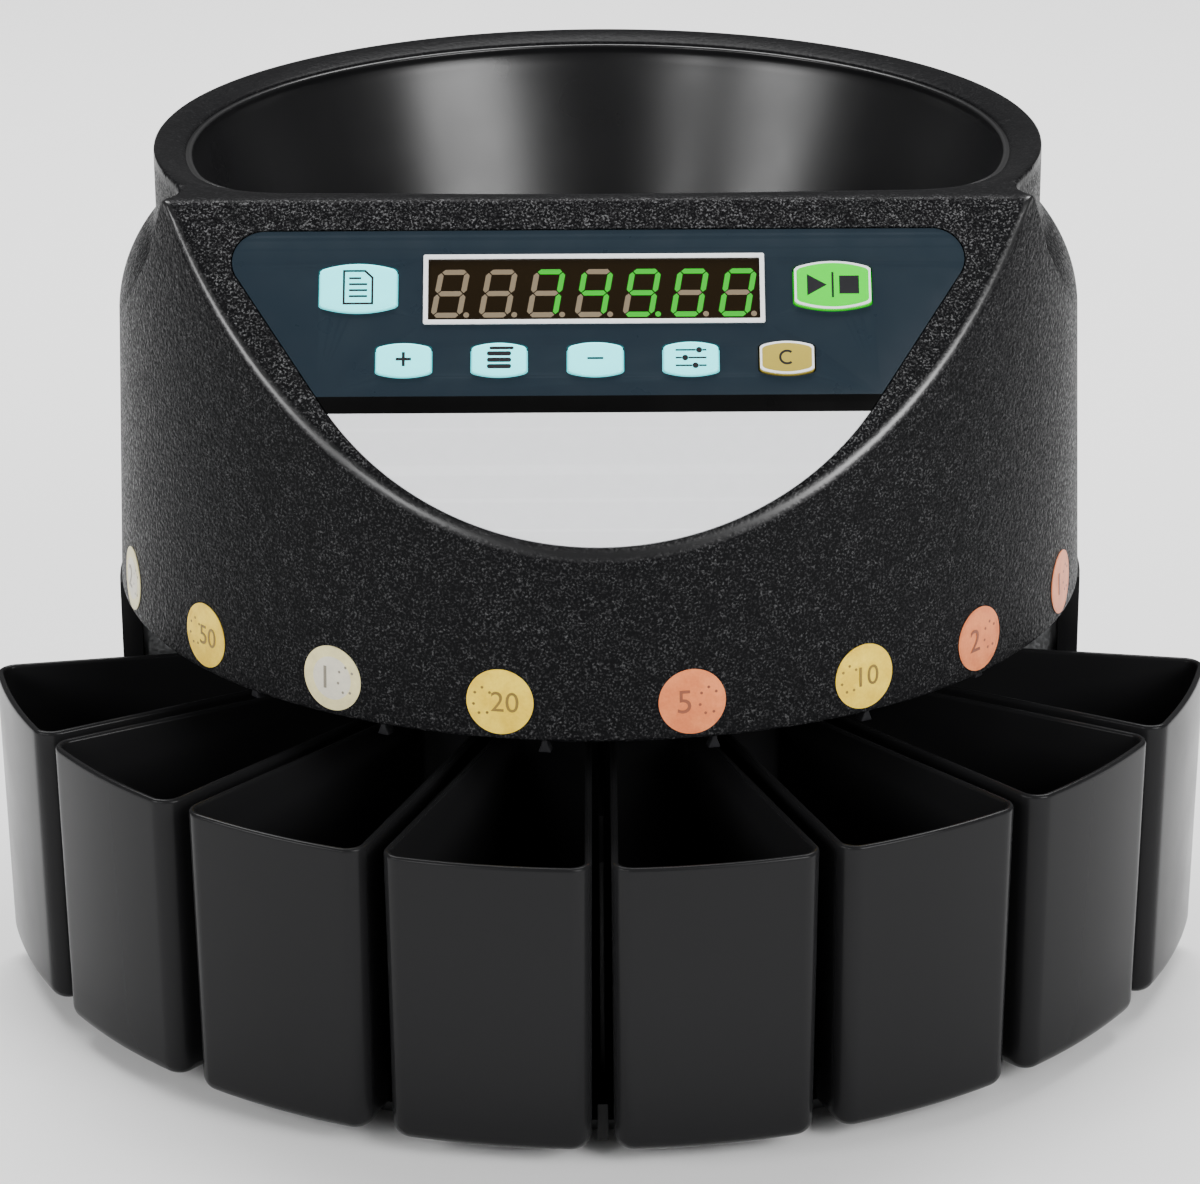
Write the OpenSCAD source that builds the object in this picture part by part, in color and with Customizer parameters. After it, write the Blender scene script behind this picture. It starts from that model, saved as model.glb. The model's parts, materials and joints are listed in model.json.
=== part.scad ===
// Electronic coin counter and sorter.
// A round housing carries the hopper, the sorting disc and a sloping control panel.
// Eight wedge-shaped cups stand in a fan under its front, one for each coin size.
// Millimetres, +Z up, the panel faces -Y. The origin is the centre of the footprint.

/* [Housing] */
// Radius of the upper housing at its lower edge
drum_r = 143.5; // [142:0.5:146]
// Radius that the drafted wall of the upper housing has at the top
drum_top_r = 139; // [138:0.5:140]
// Height of the lower edge of the upper housing above the table
drum_z = 112; // [110:1:114]
// Overall height
top_z = 244; // [240:1:250]
// Wall of the moulded shells
wall = 2.6; // [2:0.1:3]
// Radius of the rounded shoulder at the sides and the back
shoulder_r = 38; // [34:1:40]
// Height at which the shoulder starts
shoulder_z = 194; // [190:1:198]

/* [Hopper] */
// Outer radius of the hopper ring
ring_r = 128.8; // [128:0.2:132]
// Radius of the hopper's mouth
mouth_r = 119.5; // [116:0.5:121]
// Distance from the axis to the flat front side of the mouth
mouth_chord = 58; // [54:1:60]
// Radius of the two front corners of the mouth
mouth_corner = 35; // [25:1:38]
// Size of the hopper's outlet compared with its mouth
funnel_taper = 0.68; // [0.6:0.02:0.72]
// Height of the hopper's outlet
funnel_z = 136; // [134:1:140]

/* [Control panel] */
// Slope of the panel from horizontal
panel_angle = 48; // [46:1:50]
// Distance from the axis to the panel's upper edge
panel_y = 71; // [68:1:72]
// Half width of the printed overlay at its upper edge
overlay_half_w = 100.5; // [97:0.5:101]
// Length of the overlay and name plate down the slope
overlay_h = 94; // [92:1:94]
// Distance from the panel's upper edge to the overlay
overlay_top = 9.2; // [8:0.2:10]
// Radius of the overlay's round lower end
overlay_arc_r = 88.5; // [86:0.5:90]
// Thickness of the overlay
overlay_t = 0.8; // [0.5:0.1:1]
// Depth of the recess that the overlay lies in
recess = 1; // [0.8:0.1:1.2]
// Width of the display frame
display_w = 93.4; // [90:0.2:96]
// Height of the display frame
display_h = 20.9; // [20:0.1:23]
// Travel of a key
key_travel = 0.8; // [0.5:0.1:0.8]
// Gap round a key
key_gap = 0.35; // [0.3:0.05:0.5]

/* [Coin cups] */
// Number of cups
cup_count = 8; // [8:1:8]
// Angle between neighbouring cups
cup_pitch = 20; // [20:1:20]
// Outer radius of the fan of cups
cup_outer_r = 182.5; // [178:0.5:184]
// Radius of the cups' inner ends
cup_inner_r = 82; // [81:1:84]
// Gap between two cups at the rim
cup_gap = 5; // [5:0.5:7]
// Height of a cup's bottom above the table
cup_z = 6.3; // [6.2:0.1:7]
// Height of a cup's rim above the table
cup_rim_z = 92; // [88:1:94]
// Radius of a cup's outer corners
cup_corner_r = 6; // [5:1:8]
// Wall of a cup
cup_wall = 2; // [1.6:0.1:2.4]
// Side draft of a cup, as the size of its foot compared with its rim
cup_draft = 0.976; // [0.97:0.001:0.99]

/* [Coins] */
// Diameters of the coins that the exits let through, from left to right
coin_d = [25.75, 24.25, 23.25, 22.25, 21.25, 19.75, 18.75, 16.25];
// Directions of the round labels on the housing, from left to right
label_az = [-72, -51, -31, -11, 10, 30.4, 48, 69];
// Diameter of the round labels
label_d = 18.6; // [17:0.2:20]
// Height of the labels' centres above the table
label_z = 123; // [122:0.5:126]

/* [Sorting drive] */
// Radius of the rotating disc
disc_r = 97; // [96:0.5:97]
// Radius of the disc shaft
shaft_r = 5; // [4.9:0.1:5]
// Running clearance of a shaft in its bearing
run_gap = 0.05; // [0.02:0.01:0.1]
// Radius of the pulley under the disc
disc_pulley_r = 45; // [40:1:46]
// Radius of the motor's pulley
motor_pulley_r = 10; // [9:1:12]
// Distance from the disc shaft to the motor shaft
motor_y = 66; // [64:1:68]

/* [Hidden] */
$fn = 96;
big = 600;

// The fan of cups reaches further forward than the housing reaches back.
cup_front = cup_corner_r
  + sqrt(pow(cup_outer_r - cup_corner_r, 2) - pow(cup_gap / 2 + cup_corner_r, 2));
housing_r = 144.2;
axis_y = (cup_front - housing_r) / 2;

// Base
foot_h = 3;
foot_r = 8;
foot_places = [[-62, -130], [62, -130], [-96, 72], [96, 72]];
tray_top = 6;
tray_front_r = 160;
fin_t = 3;
fin_top = 16;
// The fin in the middle reaches further out than the others
middle_fin_r = 170;
fin_end_r = 161;
divider_t = 1.6;
divider_end_r = 152;
divider_gap = 0.2;

// Lower housing
core_r = 78;
bay_az = 82.5;
bay_y = 124;
bay_half_w = 56;
bay_z = 20;
bay_h = 48;
rocker_tip = 9;
rocker_y = -1;
rocker_pin_r = 1.4;
column_r = 137;
boss_places = [[-120, 64], [120, 64], [-52, 126], [52, 126], [-40, -61], [40, -61]];
boss_r = 5;
screw_r = 1.6;

// Deck and sorting disc
deck_t = 2;
deck_r = 137;
deck_z = drum_z;
rail_z = deck_z + deck_t;
rail_t = 3.5;
rail_out_r = 134;
exit_outer_r = 129;
exit_w = 29;
disc_t = 2.7;
disc_z = rail_z + rail_t - disc_t;
knob_h = 9;
bearing_r = 11;
bearing_h = 6;
housing_boss_z = 94;
pulley_z = 82;
pulley_h = 10;
belt_gap = 0.3;
belt_t = 2;
motor_r = 30;
motor_z = 18;
bracket_z = 76;
bracket_t = 2;

// The front part of the wall ends in a sloping top just behind the panel's upper corners
cheek_back = 3;
cheek_slope = 65;

// Panel, in its own coordinates: x across, -y down the slope, z outward
display_x = -1.2;
display_y = -27.1;
row_1_y = -26.6;
row_2_y = -48.2;
strip_y = -58.9;
strip_h = 5;
board_z = -14.6;
key_cap_z = 0.7;
key_flange_z = -3;
key_flange_t = 1.4;
key_stem_z = -11;
big_key = [21.1, 14.5];
small_key = [14.9, 9.9];
key_places = [
  [-65.7, row_1_y, 1], [64.1, row_1_y, 1],
  [-53.1, row_2_y, 0], [-27.1, row_2_y, 0], [-0.9, row_2_y, 0], [25.1, row_2_y, 0],
  [51.2, row_2_y, 0]
];

// Digits
digit_h = 14.4;
digit_w = 8.6;
digit_pitch = 13.1;
digit_slant = 0.17;
digit_drop = -1.2;
segment_t = 1.5;
segment_gap = 0.25;
shown = ["", "", "7", "4", "9", "0", "0"];
dot_after = 4;

// ---- placing -------------------------------------------------------------------------------

// Moves what is drawn round the housing's axis to its place in the footprint
module on_axis() {
  translate([0, axis_y, 0]) children();
}

// Turns a part drawn along +X to a direction measured from the front, positive to the right
module toward(az) {
  rotate([0, 0, az - 90]) children();
}

module on_panel() {
  translate([0, -panel_y, top_z]) rotate([panel_angle, 0, 0]) children();
}

module on_recess() {
  on_panel() translate([0, 0, -recess]) children();
}

// Everything below a plane through y, z that is tilted about X, sunk by an inset
module below_plane(y, z, tilt, inset) {
  translate([0, y, z])
    rotate([tilt, 0, 0])
      translate([-big / 2, -big / 2, -big - inset])
        cube(big);
}

module ring(outer, inner, z, h) {
  translate([0, 0, z])
    difference() {
      cylinder(r = outer, h = h);
      translate([0, 0, -1]) cylinder(r = inner, h = h + 2);
    }
}

function az_xy(r, az) = [r * sin(az), -r * cos(az)];

// A fan-shaped area in front of the axis, between -az and +az
module front_fan(az, back) {
  translate([0, back])
    polygon([[0, 0], big * [sin(az), -cos(az)], [big, -big], [-big, -big], big * [-sin(az), -cos(az)]]);
}

// ---- outlines ------------------------------------------------------------------------------

// A circle with a flat front side and two round front corners
module mouth_outline(r, chord, corner) {
  cy = corner - chord;
  cx = sqrt(pow(r - corner, 2) - cy * cy);
  difference() {
    circle(r = r, $fn = 128);
    polygon([[0, 0], 4 * [cx, cy], [4 * cx, -big], [-4 * cx, -big], 4 * [-cx, cy]]);
  }
  polygon([[0, 0], [cx, cy], [cx, -chord], [-cx, -chord], [-cx, cy]]);
  for (side = [-1, 1]) translate([side * cx, cy]) circle(r = corner, $fn = 96);
}

// A key with straight sides and bulging upper and lower edges
module barrel(size, grow) {
  w = size[0] + 2 * grow;
  h = size[1] + 2 * grow;
  bulge = size[1] * 0.13;
  r = (w * w / 4 + bulge * bulge) / (2 * bulge);
  intersection() {
    square([w, h], center = true);
    translate([0, h / 2 - r]) circle(r = r, $fn = 180);
    translate([0, r - h / 2]) circle(r = r, $fn = 180);
  }
}

// Outline of overlay and name plate: straight top, round upper corners, one big arc below
module overlay_outline(grow) {
  corner = 9;
  hull() {
    for (side = [-1, 1])
      translate([side * (overlay_half_w - corner), -overlay_top - corner])
        circle(r = corner + grow, $fn = 48);
    intersection() {
      translate([0, overlay_arc_r - overlay_top - overlay_h])
        circle(r = overlay_arc_r + grow, $fn = 180);
      translate([-big, -big - overlay_top - corner]) square([2 * big, big]);
    }
  }
}

// Points along an arc, without its last point
function arc(centre, r, from, to, steps) =
  [for (i = [0:steps - 1]) let (t = from + (to - from) * i / steps) centre + r * [cos(t), sin(t)]];

// Outline of a cup, pointing along +X
module cup_outline(inset) {
  half = cup_pitch / 2;
  // Distance of the side from the radial line between two cups
  side = cup_gap / 2 + inset;
  outer = cup_outer_r - inset;
  corner = cup_corner_r - inset;
  inner = cup_inner_r + inset;
  inner_half = inner * tan(half) - side / cos(half);
  // The corner's centre lies one corner radius inside the outer arc and the side
  turn = half - asin((side + corner) / (outer - corner));
  c = (outer - corner) * [cos(turn), sin(turn)];
  polygon(concat(
    [[inner, -inner_half]],
    arc([c[0], -c[1]], corner, -half - 90, -turn, 8),
    arc([0, 0], outer, -turn, turn, 12),
    arc(c, corner, turn, half + 90, 8),
    [c + corner * [-sin(half), cos(half)], [inner, inner_half]]
  ));
}

// ---- base ----------------------------------------------------------------------------------

module rubber_feet() {
  color("#1c1c1e")
    on_axis()
      for (p = foot_places)
        translate([p[0], p[1], 0])
          rotate_extrude($fn = 48)
            polygon([[0, 0], [foot_r - 1, 0], [foot_r, 1], [foot_r, foot_h], [0, foot_h]]);
}

module base_tray() {
  color("#18181a")
    on_axis()
      difference() {
        union() {
          translate([0, 0, foot_h])
            linear_extrude(tray_top - foot_h) {
              intersection() {
                circle(r = tray_front_r, $fn = 180);
                front_fan(cup_count * cup_pitch / 2 - 1, 0);
              }
              circle(r = housing_r - 3, $fn = 180);
            }
          for (i = [1:cup_count - 1])
            toward((i - cup_count / 2) * cup_pitch)
              translate([core_r + 3, -fin_t / 2, tray_top - 1])
                cube([
                  (i == cup_count / 2 ? middle_fin_r : fin_end_r) - core_r - 3,
                  fin_t, fin_top - tray_top + 1
                ]);
        }
        for (p = boss_places)
          translate([p[0], p[1], foot_h - 1]) {
            cylinder(r = screw_r + 0.2, h = 5, $fn = 32);
            cylinder(r = 3.4, h = 2.2, $fn = 32);
          }
      }
}

// Thin radial plates between the cups, standing in the tray's fins
module cup_dividers() {
  color("#2a2a2c")
    on_axis()
      for (i = [1:cup_count - 1])
        toward((i - cup_count / 2) * cup_pitch)
          translate([0, divider_t / 2, 0])
            rotate([90, 0, 0])
              linear_extrude(divider_t)
                polygon([
                  [core_r + 4, fin_top + divider_gap], [divider_end_r, fin_top + divider_gap],
                  [147, 78], [138, 88], [core_r + 4, 88]
                ]);
}

// ---- lower housing -------------------------------------------------------------------------

module housing_outline(inset) {
  difference() {
    circle(r = housing_r - inset, $fn = 180);
    front_fan(bay_az, inset / sin(bay_az));
  }
  circle(r = core_r - inset, $fn = 180);
}

module lower_housing() {
  h = drum_z - tray_top;
  color("#161618")
    on_axis()
      difference() {
        union() {
          translate([0, 0, tray_top])
            linear_extrude(h)
              difference() {
                housing_outline(0);
                housing_outline(wall);
              }
          // The service bay's back wall and its frame
          intersection() {
            translate([-bay_half_w - wall, bay_y - wall, bay_z - wall])
              cube([2 * (bay_half_w + wall), 40, bay_h + 2 * wall]);
            cylinder(r = housing_r - 0.5, h = drum_z, $fn = 180);
          }
          for (p = boss_places)
            translate([p[0], p[1], tray_top]) cylinder(r = boss_r, h = 14, $fn = 48);
        }
        // The bay itself
        translate([-bay_half_w, bay_y, bay_z]) cube([2 * bay_half_w, 40, bay_h]);
        // Windows in the two front walls, inside the outer columns
        for (side = [-1, 1])
          translate([side > 0 ? 92 : -column_r, -40, 60]) cube([column_r - 92, 60, 44]);
        for (p = boss_places)
          translate([p[0], p[1], tray_top - 1]) cylinder(r = screw_r, h = 12, $fn = 32);
        translate([-30, bay_y - 10, 44]) cube([28, 20, 20.6], center = true);
        translate([4, bay_y - 10, 44]) cube([19.4, 20, 13.4], center = true);
        translate([35, bay_y - 10, 44]) cube([20, 20, 10], center = true);
        // Air slots beside the bay
        for (i = [-4:4])
          translate([i * 11 - 2, 90, 84]) cube([4, 60, 16]);
      }
}

// Plated steel plates that hang the deck inside the housing's front walls
module side_brackets() {
  color("#a9abad")
    on_axis()
      for (side = [-1, 1])
        toward(side * bay_az)
          translate([86, side > 0 ? wall + 0.3 : -wall - 0.3 - 1.5, 50]) cube([52, 1.5, deck_z - 50]);
}

module base_screws() {
  color("#8d8f92")
    on_axis()
      for (p = boss_places)
        translate([p[0], p[1], foot_h + 0.1]) {
          cylinder(r = 3, h = 1, $fn = 32);
          cylinder(r = screw_r - 0.05, h = 11, $fn = 32);
        }
}

// ---- deck, rail and chutes -----------------------------------------------------------------

// One exit for every coin size, its outer side on a common circle
module exit_windows(grow, z, h) {
  for (i = [0:cup_count - 1]) {
    depth = coin_d[i] + 0.8;
    toward((i - (cup_count - 1) / 2) * cup_pitch)
      translate([exit_outer_r - depth - grow, -exit_w / 2 - grow, z])
        cube([depth + 2 * grow, exit_w + 2 * grow, h]);
  }
}

module deck_plate() {
  color("#b4b6b8")
    on_axis()
      difference() {
        translate([0, 0, deck_z]) cylinder(r = deck_r, h = deck_t, $fn = 180);
        translate([0, 0, deck_z - 1]) cylinder(r = bearing_r + 5.2, h = deck_t + 2);
        exit_windows(0, deck_z - 1, deck_t + 2);
      }
}

module exit_chutes() {
  h = 5;
  color("#202022")
    on_axis()
      difference() {
        exit_windows(1.6, deck_z - h, h);
        exit_windows(0.2, deck_z - h - 1, h + 2);
      }
}

// A short finger beside every exit that feels the coins drop
module exit_sensors() {
  color("#8f9193")
    on_axis()
      for (i = [0:cup_count - 1])
        toward((i - (cup_count - 1) / 2) * cup_pitch)
          translate([exit_outer_r + 1.9, 8, deck_z])
            rotate([0, 90, 0])
              linear_extrude(3.5)
                polygon([[0, -3], [2.4, -3], [3, -0.8], [4.5, -0.8], [7, -1.8], [7, 1.8], [4.5, 0.8],
                  [3, 0.8], [2.4, 3], [0, 3]]);
}

module sorting_rail() {
  color("#c4c6c8")
    on_axis()
      difference() {
        union() {
          ring(rail_out_r, disc_r + 0.6, rail_z, rail_t);
          ring(rail_out_r, rail_out_r - 3, rail_z + rail_t, 4);
        }
        exit_windows(0, rail_z - 1, rail_t + 2);
      }
}

// Hold-down ring that keeps the coins flat on the rail
module rail_cover() {
  color("#303236")
    on_axis() {
      ring(rail_out_r, 104, rail_z + rail_t + 4, 2);
      for (i = [0:cup_count - 1])
        toward((i - (cup_count - 1) / 2) * cup_pitch + 10)
          translate([118, 0, rail_z + rail_t + 5]) cylinder(r = 4, h = 6, $fn = 32);
    }
}

// ---- rotating disc and its drive -----------------------------------------------------------

module coin_disc() {
  color("#c9cacb")
    on_axis()
      difference() {
        union() {
          translate([0, 0, disc_z]) cylinder(r = disc_r, h = disc_t, $fn = 180);
          ring(disc_r - 1, disc_r - 4, disc_z + disc_t, 0.6);
          // Low ribs that carry the coins round
          for (i = [0:5])
            rotate([0, 0, i * 60])
              translate([40, -1, disc_z + disc_t]) cube([46, 2, 0.8]);
        }
        translate([0, 0, disc_z - 1]) cylinder(r = shaft_r, h = disc_t + 2);
      }
}

module disc_knob() {
  z = disc_z + disc_t;
  color("#8f9092")
    on_axis()
      difference() {
        rotate_extrude($fn = 96)
          polygon([[0, z], [22, z], [22, z + 1.5], [13, z + 4], [11, z + knob_h], [9, z + knob_h + 1.5],
            [0, z + knob_h + 1.5]]);
        translate([0, 0, z - 1]) cylinder(r = shaft_r, h = knob_h);
      }
}

module disc_shaft() {
  color("#d0d2d4")
    on_axis()
      translate([0, 0, pulley_z - 2]) cylinder(r = shaft_r, h = disc_z + disc_t + knob_h - 1 - pulley_z + 2);
}

// Turned housing under the deck that holds the two bearings
module bearing_housing() {
  color("#9fa2a5")
    on_axis()
      difference() {
        union() {
          translate([0, 0, housing_boss_z]) cylinder(r = bearing_r + 5, h = deck_z - housing_boss_z);
          ring(bearing_r + 15, bearing_r, deck_z - 4, 4);
        }
        translate([0, 0, housing_boss_z - 1]) cylinder(r = bearing_r, h = deck_z - housing_boss_z + 2);
      }
}

module ball_bearings() {
  color("#d6d8da")
    on_axis()
      for (z = [housing_boss_z + 0.5, deck_z - bearing_h - 0.5])
        difference() {
          ring(bearing_r, shaft_r + run_gap, z, bearing_h);
          ring(bearing_r - 2, shaft_r + 2, z - 1, 1.6);
          ring(bearing_r - 2, shaft_r + 2, z + bearing_h - 0.6, 1.6);
        }
}

// A flat-belt pulley with two flanges
module pulley(r, bore) {
  difference() {
    union() {
      cylinder(r = r, h = pulley_h);
      cylinder(r = r + 1.6, h = 1);
      translate([0, 0, pulley_h - 1]) cylinder(r = r + 1.6, h = 1);
    }
    translate([0, 0, -1]) cylinder(r = bore, h = pulley_h + 2);
  }
}

module disc_pulley() {
  color("#33353a")
    on_axis()
      translate([0, 0, pulley_z]) pulley(disc_pulley_r, shaft_r);
}

module motor_pulley() {
  color("#33353a")
    on_axis()
      translate([0, motor_y, pulley_z]) pulley(motor_pulley_r, 3);
}

module motor_shaft() {
  color("#d0d2d4")
    on_axis()
      translate([0, motor_y, bracket_z - 10]) cylinder(r = 3, h = pulley_z + pulley_h + 1 - bracket_z + 10);
}

// Outline of a loop round both pulleys: two circles and their outer tangents
module belt_loop(grow) {
  r1 = disc_pulley_r + grow;
  r2 = motor_pulley_r + grow;
  lean = asin((r1 - r2) / motor_y);
  circle(r = r1, $fn = 180);
  translate([0, motor_y]) circle(r = r2, $fn = 96);
  polygon([
    r1 * [-cos(lean), sin(lean)], r1 * [cos(lean), sin(lean)],
    [r2 * cos(lean), motor_y + r2 * sin(lean)], [-r2 * cos(lean), motor_y + r2 * sin(lean)]
  ]);
}

module drive_belt() {
  color("#111113")
    on_axis()
      translate([0, 0, pulley_z + 1.6])
        linear_extrude(pulley_h - 3.2)
          difference() {
            belt_loop(belt_gap + belt_t);
            belt_loop(belt_gap);
          }
}

module drive_motor() {
  color("#7e8184")
    on_axis()
      translate([0, motor_y, 0])
        difference() {
          union() {
            translate([0, 0, motor_z]) cylinder(r = motor_r, h = bracket_z - motor_z - 3);
            translate([0, 0, motor_z - 6]) cylinder(r = 10, h = 7);
            translate([0, 0, bracket_z - 4]) cylinder(r = 9, h = 4);
          }
          translate([0, 0, bracket_z - 11]) cylinder(r = 3 + run_gap, h = 12);
        }
}

module motor_bracket() {
  color("#aeb0b2")
    on_axis()
      difference() {
        union() {
          translate([-38, 32, bracket_z]) cube([76, 68, bracket_t]);
          for (p = [[-34, 97], [34, 97], [-34, 60], [34, 60]])
            translate([p[0], p[1], bracket_z]) cylinder(r = 3, h = deck_z - bracket_z, $fn = 32);
        }
        translate([0, motor_y, bracket_z - 1]) cylinder(r = 9.5, h = bracket_t + 2);
      }
}

// ---- electrics -----------------------------------------------------------------------------

module transformer() {
  color("#6b4a2c")
    on_axis()
      translate([-76, 58, tray_top]) {
        translate([-26, -22, 2]) cube([52, 44, 12]);
        translate([-26, -22, 32]) cube([52, 44, 12]);
        translate([-26, -22, 14]) cube([11, 44, 18]);
        translate([15, -22, 14]) cube([11, 44, 18]);
        translate([-15, -27, 14]) cube([30, 54, 18]);
        translate([-30, -16, 0]) cube([60, 32, 2]);
      }
}

module main_board() {
  color("#1f5c37")
    on_axis()
      difference() {
        translate([46, 22, 14]) cube([56, 66, 1.6]);
        for (p = [[50, 26], [98, 26], [50, 84], [98, 84]])
          translate([p[0], p[1], 13]) cylinder(r = 1.6, h = 4, $fn = 32);
      }
}

module board_parts() {
  color("#2b2b2f")
    on_axis()
      translate([0, 0, 15.6]) {
        translate([66, 44, 0]) cube([16, 16, 3]);
        translate([88, 40, 0]) cube([8, 22, 9]);
        for (i = [0:3]) translate([56 + i * 11, 74, 0]) cylinder(r = 4, h = 14, $fn = 32);
        for (i = [0:2]) translate([52, 34 + i * 12, 0]) cube([5, 8, 8]);
      }
}

// Appliance inlet with three flat pins
module power_inlet() {
  color("#141416")
    on_axis()
      translate([-30, bay_y, 44]) {
        difference() {
          union() {
            translate([-17, 0, -13]) cube([34, 2, 26]);
            translate([-13.6, -14, -9.9]) cube([27.2, 14, 19.8]);
          }
          translate([-12, -12, -8]) cube([24, 15, 16]);
        }
        for (x = [-7, 0, 7])
          translate([x - 1, -13, x == 0 ? 0.5 : -4.5]) cube([2, 8, 4]);
      }
}

module switch_frame() {
  color("#141416")
    on_axis()
      translate([4, bay_y, 44])
        difference() {
          union() {
            translate([-11, 0, -8]) cube([22, 2, 16]);
            translate([-9.5, -12, -6.5]) cube([19, 12, 13]);
          }
          translate([-8.2, -8, -5.4]) cube([16.4, 12, 10.8]);
          translate([0, rocker_y, 0])
            rotate([0, 90, 0]) cylinder(r = rocker_pin_r + run_gap, h = 18.4, center = true, $fn = 48);
        }
}

// Rocker that tips about an X axis on two pins in its frame, drawn with its upper end pressed in
module power_rocker() {
  color("#8c1c1c")
    on_axis()
      translate([4, bay_y + rocker_y, 44])
        rotate([0, 90, 0]) {
          translate([0, 0, -7.7])
            rotate(rocker_tip)
              linear_extrude(15.4)
                polygon([[-4.6, 3.2], [0, 2.2], [4.6, 3.2], [3.2, -2.6], [-3.2, -2.6]]);
          cylinder(r = rocker_pin_r, h = 18, center = true, $fn = 48);
        }
}

module printer_port() {
  color("#b9bbbd")
    on_axis()
      translate([35, bay_y, 44]) {
        difference() {
          union() {
            translate([-15.5, 0, -6.2]) cube([31, 1.2, 12.4]);
            translate([-9, 0, -4.4]) cube([18, 6, 8.8]);
            translate([-9.7, -9, -4.7]) cube([19.4, 9, 9.4]);
          }
          translate([-8.2, -1, -3.6]) cube([16.4, 9, 7.2]);
          for (side = [-1, 1])
            translate([side * 12.5, -1, 0]) rotate([-90, 0, 0]) cylinder(r = 1.6, h = 4, $fn = 32);
        }
      }
}

// ---- upper housing -------------------------------------------------------------------------

function wall_r(z) = drum_r + (drum_top_r - drum_r) * (z - drum_z) / (top_z - drum_z);

// Half section of the housing all round: drafted wall, round shoulder, hopper ring
module round_profile(inset) {
  r = wall_r(shoulder_z);
  polygon([[0, drum_z], [drum_r - inset, drum_z], [r - inset, shoulder_z], [0, shoulder_z]]);
  intersection() {
    translate([r - shoulder_r, shoulder_z]) circle(r = shoulder_r - inset, $fn = 96);
    translate([0, shoulder_z - 10]) square([big, shoulder_r + 10]);
  }
  translate([0, drum_z]) square([r - shoulder_r, shoulder_z + shoulder_r - inset - drum_z]);
  translate([0, drum_z]) square([ring_r - inset, top_z - inset - drum_z]);
}

// Half section of the front part, whose wall runs on up to the panel's upper corners
module cheek_profile(inset) {
  polygon([[0, drum_z], [drum_r - inset, drum_z], [drum_top_r - inset, top_z - inset],
    [0, top_z - inset]]);
}

module body_form(inset) {
  intersection() {
    union() {
      rotate_extrude($fn = 180) round_profile(inset);
      intersection() {
        rotate_extrude($fn = 180) cheek_profile(inset);
        below_plane(cheek_back - panel_y, top_z, -cheek_slope, inset);
      }
    }
    below_plane(-panel_y, top_z, panel_angle, inset);
  }
}

module drum_cover() {
  color("#1d1e20")
    on_axis()
      difference() {
        body_form(0);
        body_form(wall);
        translate([0, 0, drum_z - 1]) cylinder(r = drum_r - wall, h = 1.5, $fn = 180);
        translate([0, 0, top_z - 20])
          linear_extrude(30) mouth_outline(mouth_r, mouth_chord, mouth_corner);
        on_panel() {
          translate([0, 0, -recess]) linear_extrude(5) overlay_outline(0.3);
          for (k = key_places)
            translate([k[0], k[1], -5])
              linear_extrude(10) barrel(k[2] == 1 ? big_key : small_key, key_gap);
          translate([display_x, display_y, 0]) cube([display_w - 2.4, display_h - 2.4, 20], center = true);
        }
      }
}

// Smooth funnel with a flange under the hopper ring
module hopper_funnel() {
  t = 2.4;
  h = top_z - wall - funnel_z;
  grow = (mouth_r + t) / mouth_r;
  color("#141415")
    on_axis()
      translate([0, 0, funnel_z])
        difference() {
          union() {
            linear_extrude(h, scale = 1 / funnel_taper)
              scale(funnel_taper * grow) mouth_outline(mouth_r, mouth_chord, mouth_corner);
            translate([0, 0, h - 2])
              linear_extrude(2) mouth_outline(ring_r - wall - 0.5, mouth_chord + 8, mouth_corner);
          }
          translate([0, 0, -0.01])
            linear_extrude(h + 0.02, scale = 1 / funnel_taper)
              scale(funnel_taper) mouth_outline(mouth_r, mouth_chord, mouth_corner);
        }
}

// ---- control panel -------------------------------------------------------------------------

module key_holes() {
  for (k = key_places)
    translate([k[0], k[1]]) barrel(k[2] == 1 ? big_key : small_key, key_gap);
}

module control_overlay() {
  color("#33414d")
    on_axis() on_recess()
      linear_extrude(overlay_t)
        difference() {
          intersection() {
            overlay_outline(0);
            translate([-big / 2, strip_y]) square([big, big]);
          }
          key_holes();
          translate([display_x, display_y]) square([display_w - 2.4, display_h - 2.4], center = true);
        }
}

module overlay_strip() {
  color("#08090a")
    on_axis() on_recess()
      linear_extrude(overlay_t)
        intersection() {
          overlay_outline(0);
          translate([-big / 2, strip_y - strip_h]) square([big, strip_h]);
        }
}

// Plain name plate with nothing printed on it
module label_plate() {
  color("#e4e4e6")
    on_axis() on_recess()
      linear_extrude(overlay_t)
        intersection() {
          overlay_outline(0);
          translate([-big / 2, strip_y - strip_h - big]) square([big, big]);
        }
}

module display_bezel() {
  color("#eceef0")
    on_axis() on_recess()
      translate([display_x, display_y, overlay_t])
        linear_extrude(0.5)
          difference() {
            square([display_w, display_h], center = true);
            square([display_w - 2.6, display_h - 2.6], center = true);
          }
}

module display_window() {
  color("#1a100b")
    on_axis() on_recess()
      translate([display_x, display_y, overlay_t / 2 - 0.9])
        cube([display_w - 3, display_h - 3, overlay_t + 1.6], center = true);
}

// Segments of a digit, lettered a to g from the top clockwise, g in the middle
module segment(n) {
  w = digit_w - segment_t;
  h = (digit_h - segment_t) / 2;
  // [x, y, angle] of each segment's centre
  place = [[0, h, 0], [w / 2, h / 2, 90], [w / 2, -h / 2, 90], [0, -h, 0], [-w / 2, -h / 2, 90],
    [-w / 2, h / 2, 90], [0, 0, 0]][n];
  len = (place[2] == 0 ? w : h) / 2 - segment_gap;
  t = segment_t / 2;
  outline = [[-len, 0], [t - len, t], [len - t, t], [len, 0], [len - t, -t], [t - len, -t]];
  polygon([
    for (p = outline)
      let (
        x = place[0] + (place[2] == 0 ? p[0] : p[1]),
        y = place[1] + (place[2] == 0 ? p[1] : -p[0])
      ) [x + digit_slant * y, y]
  ]);
}

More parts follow.
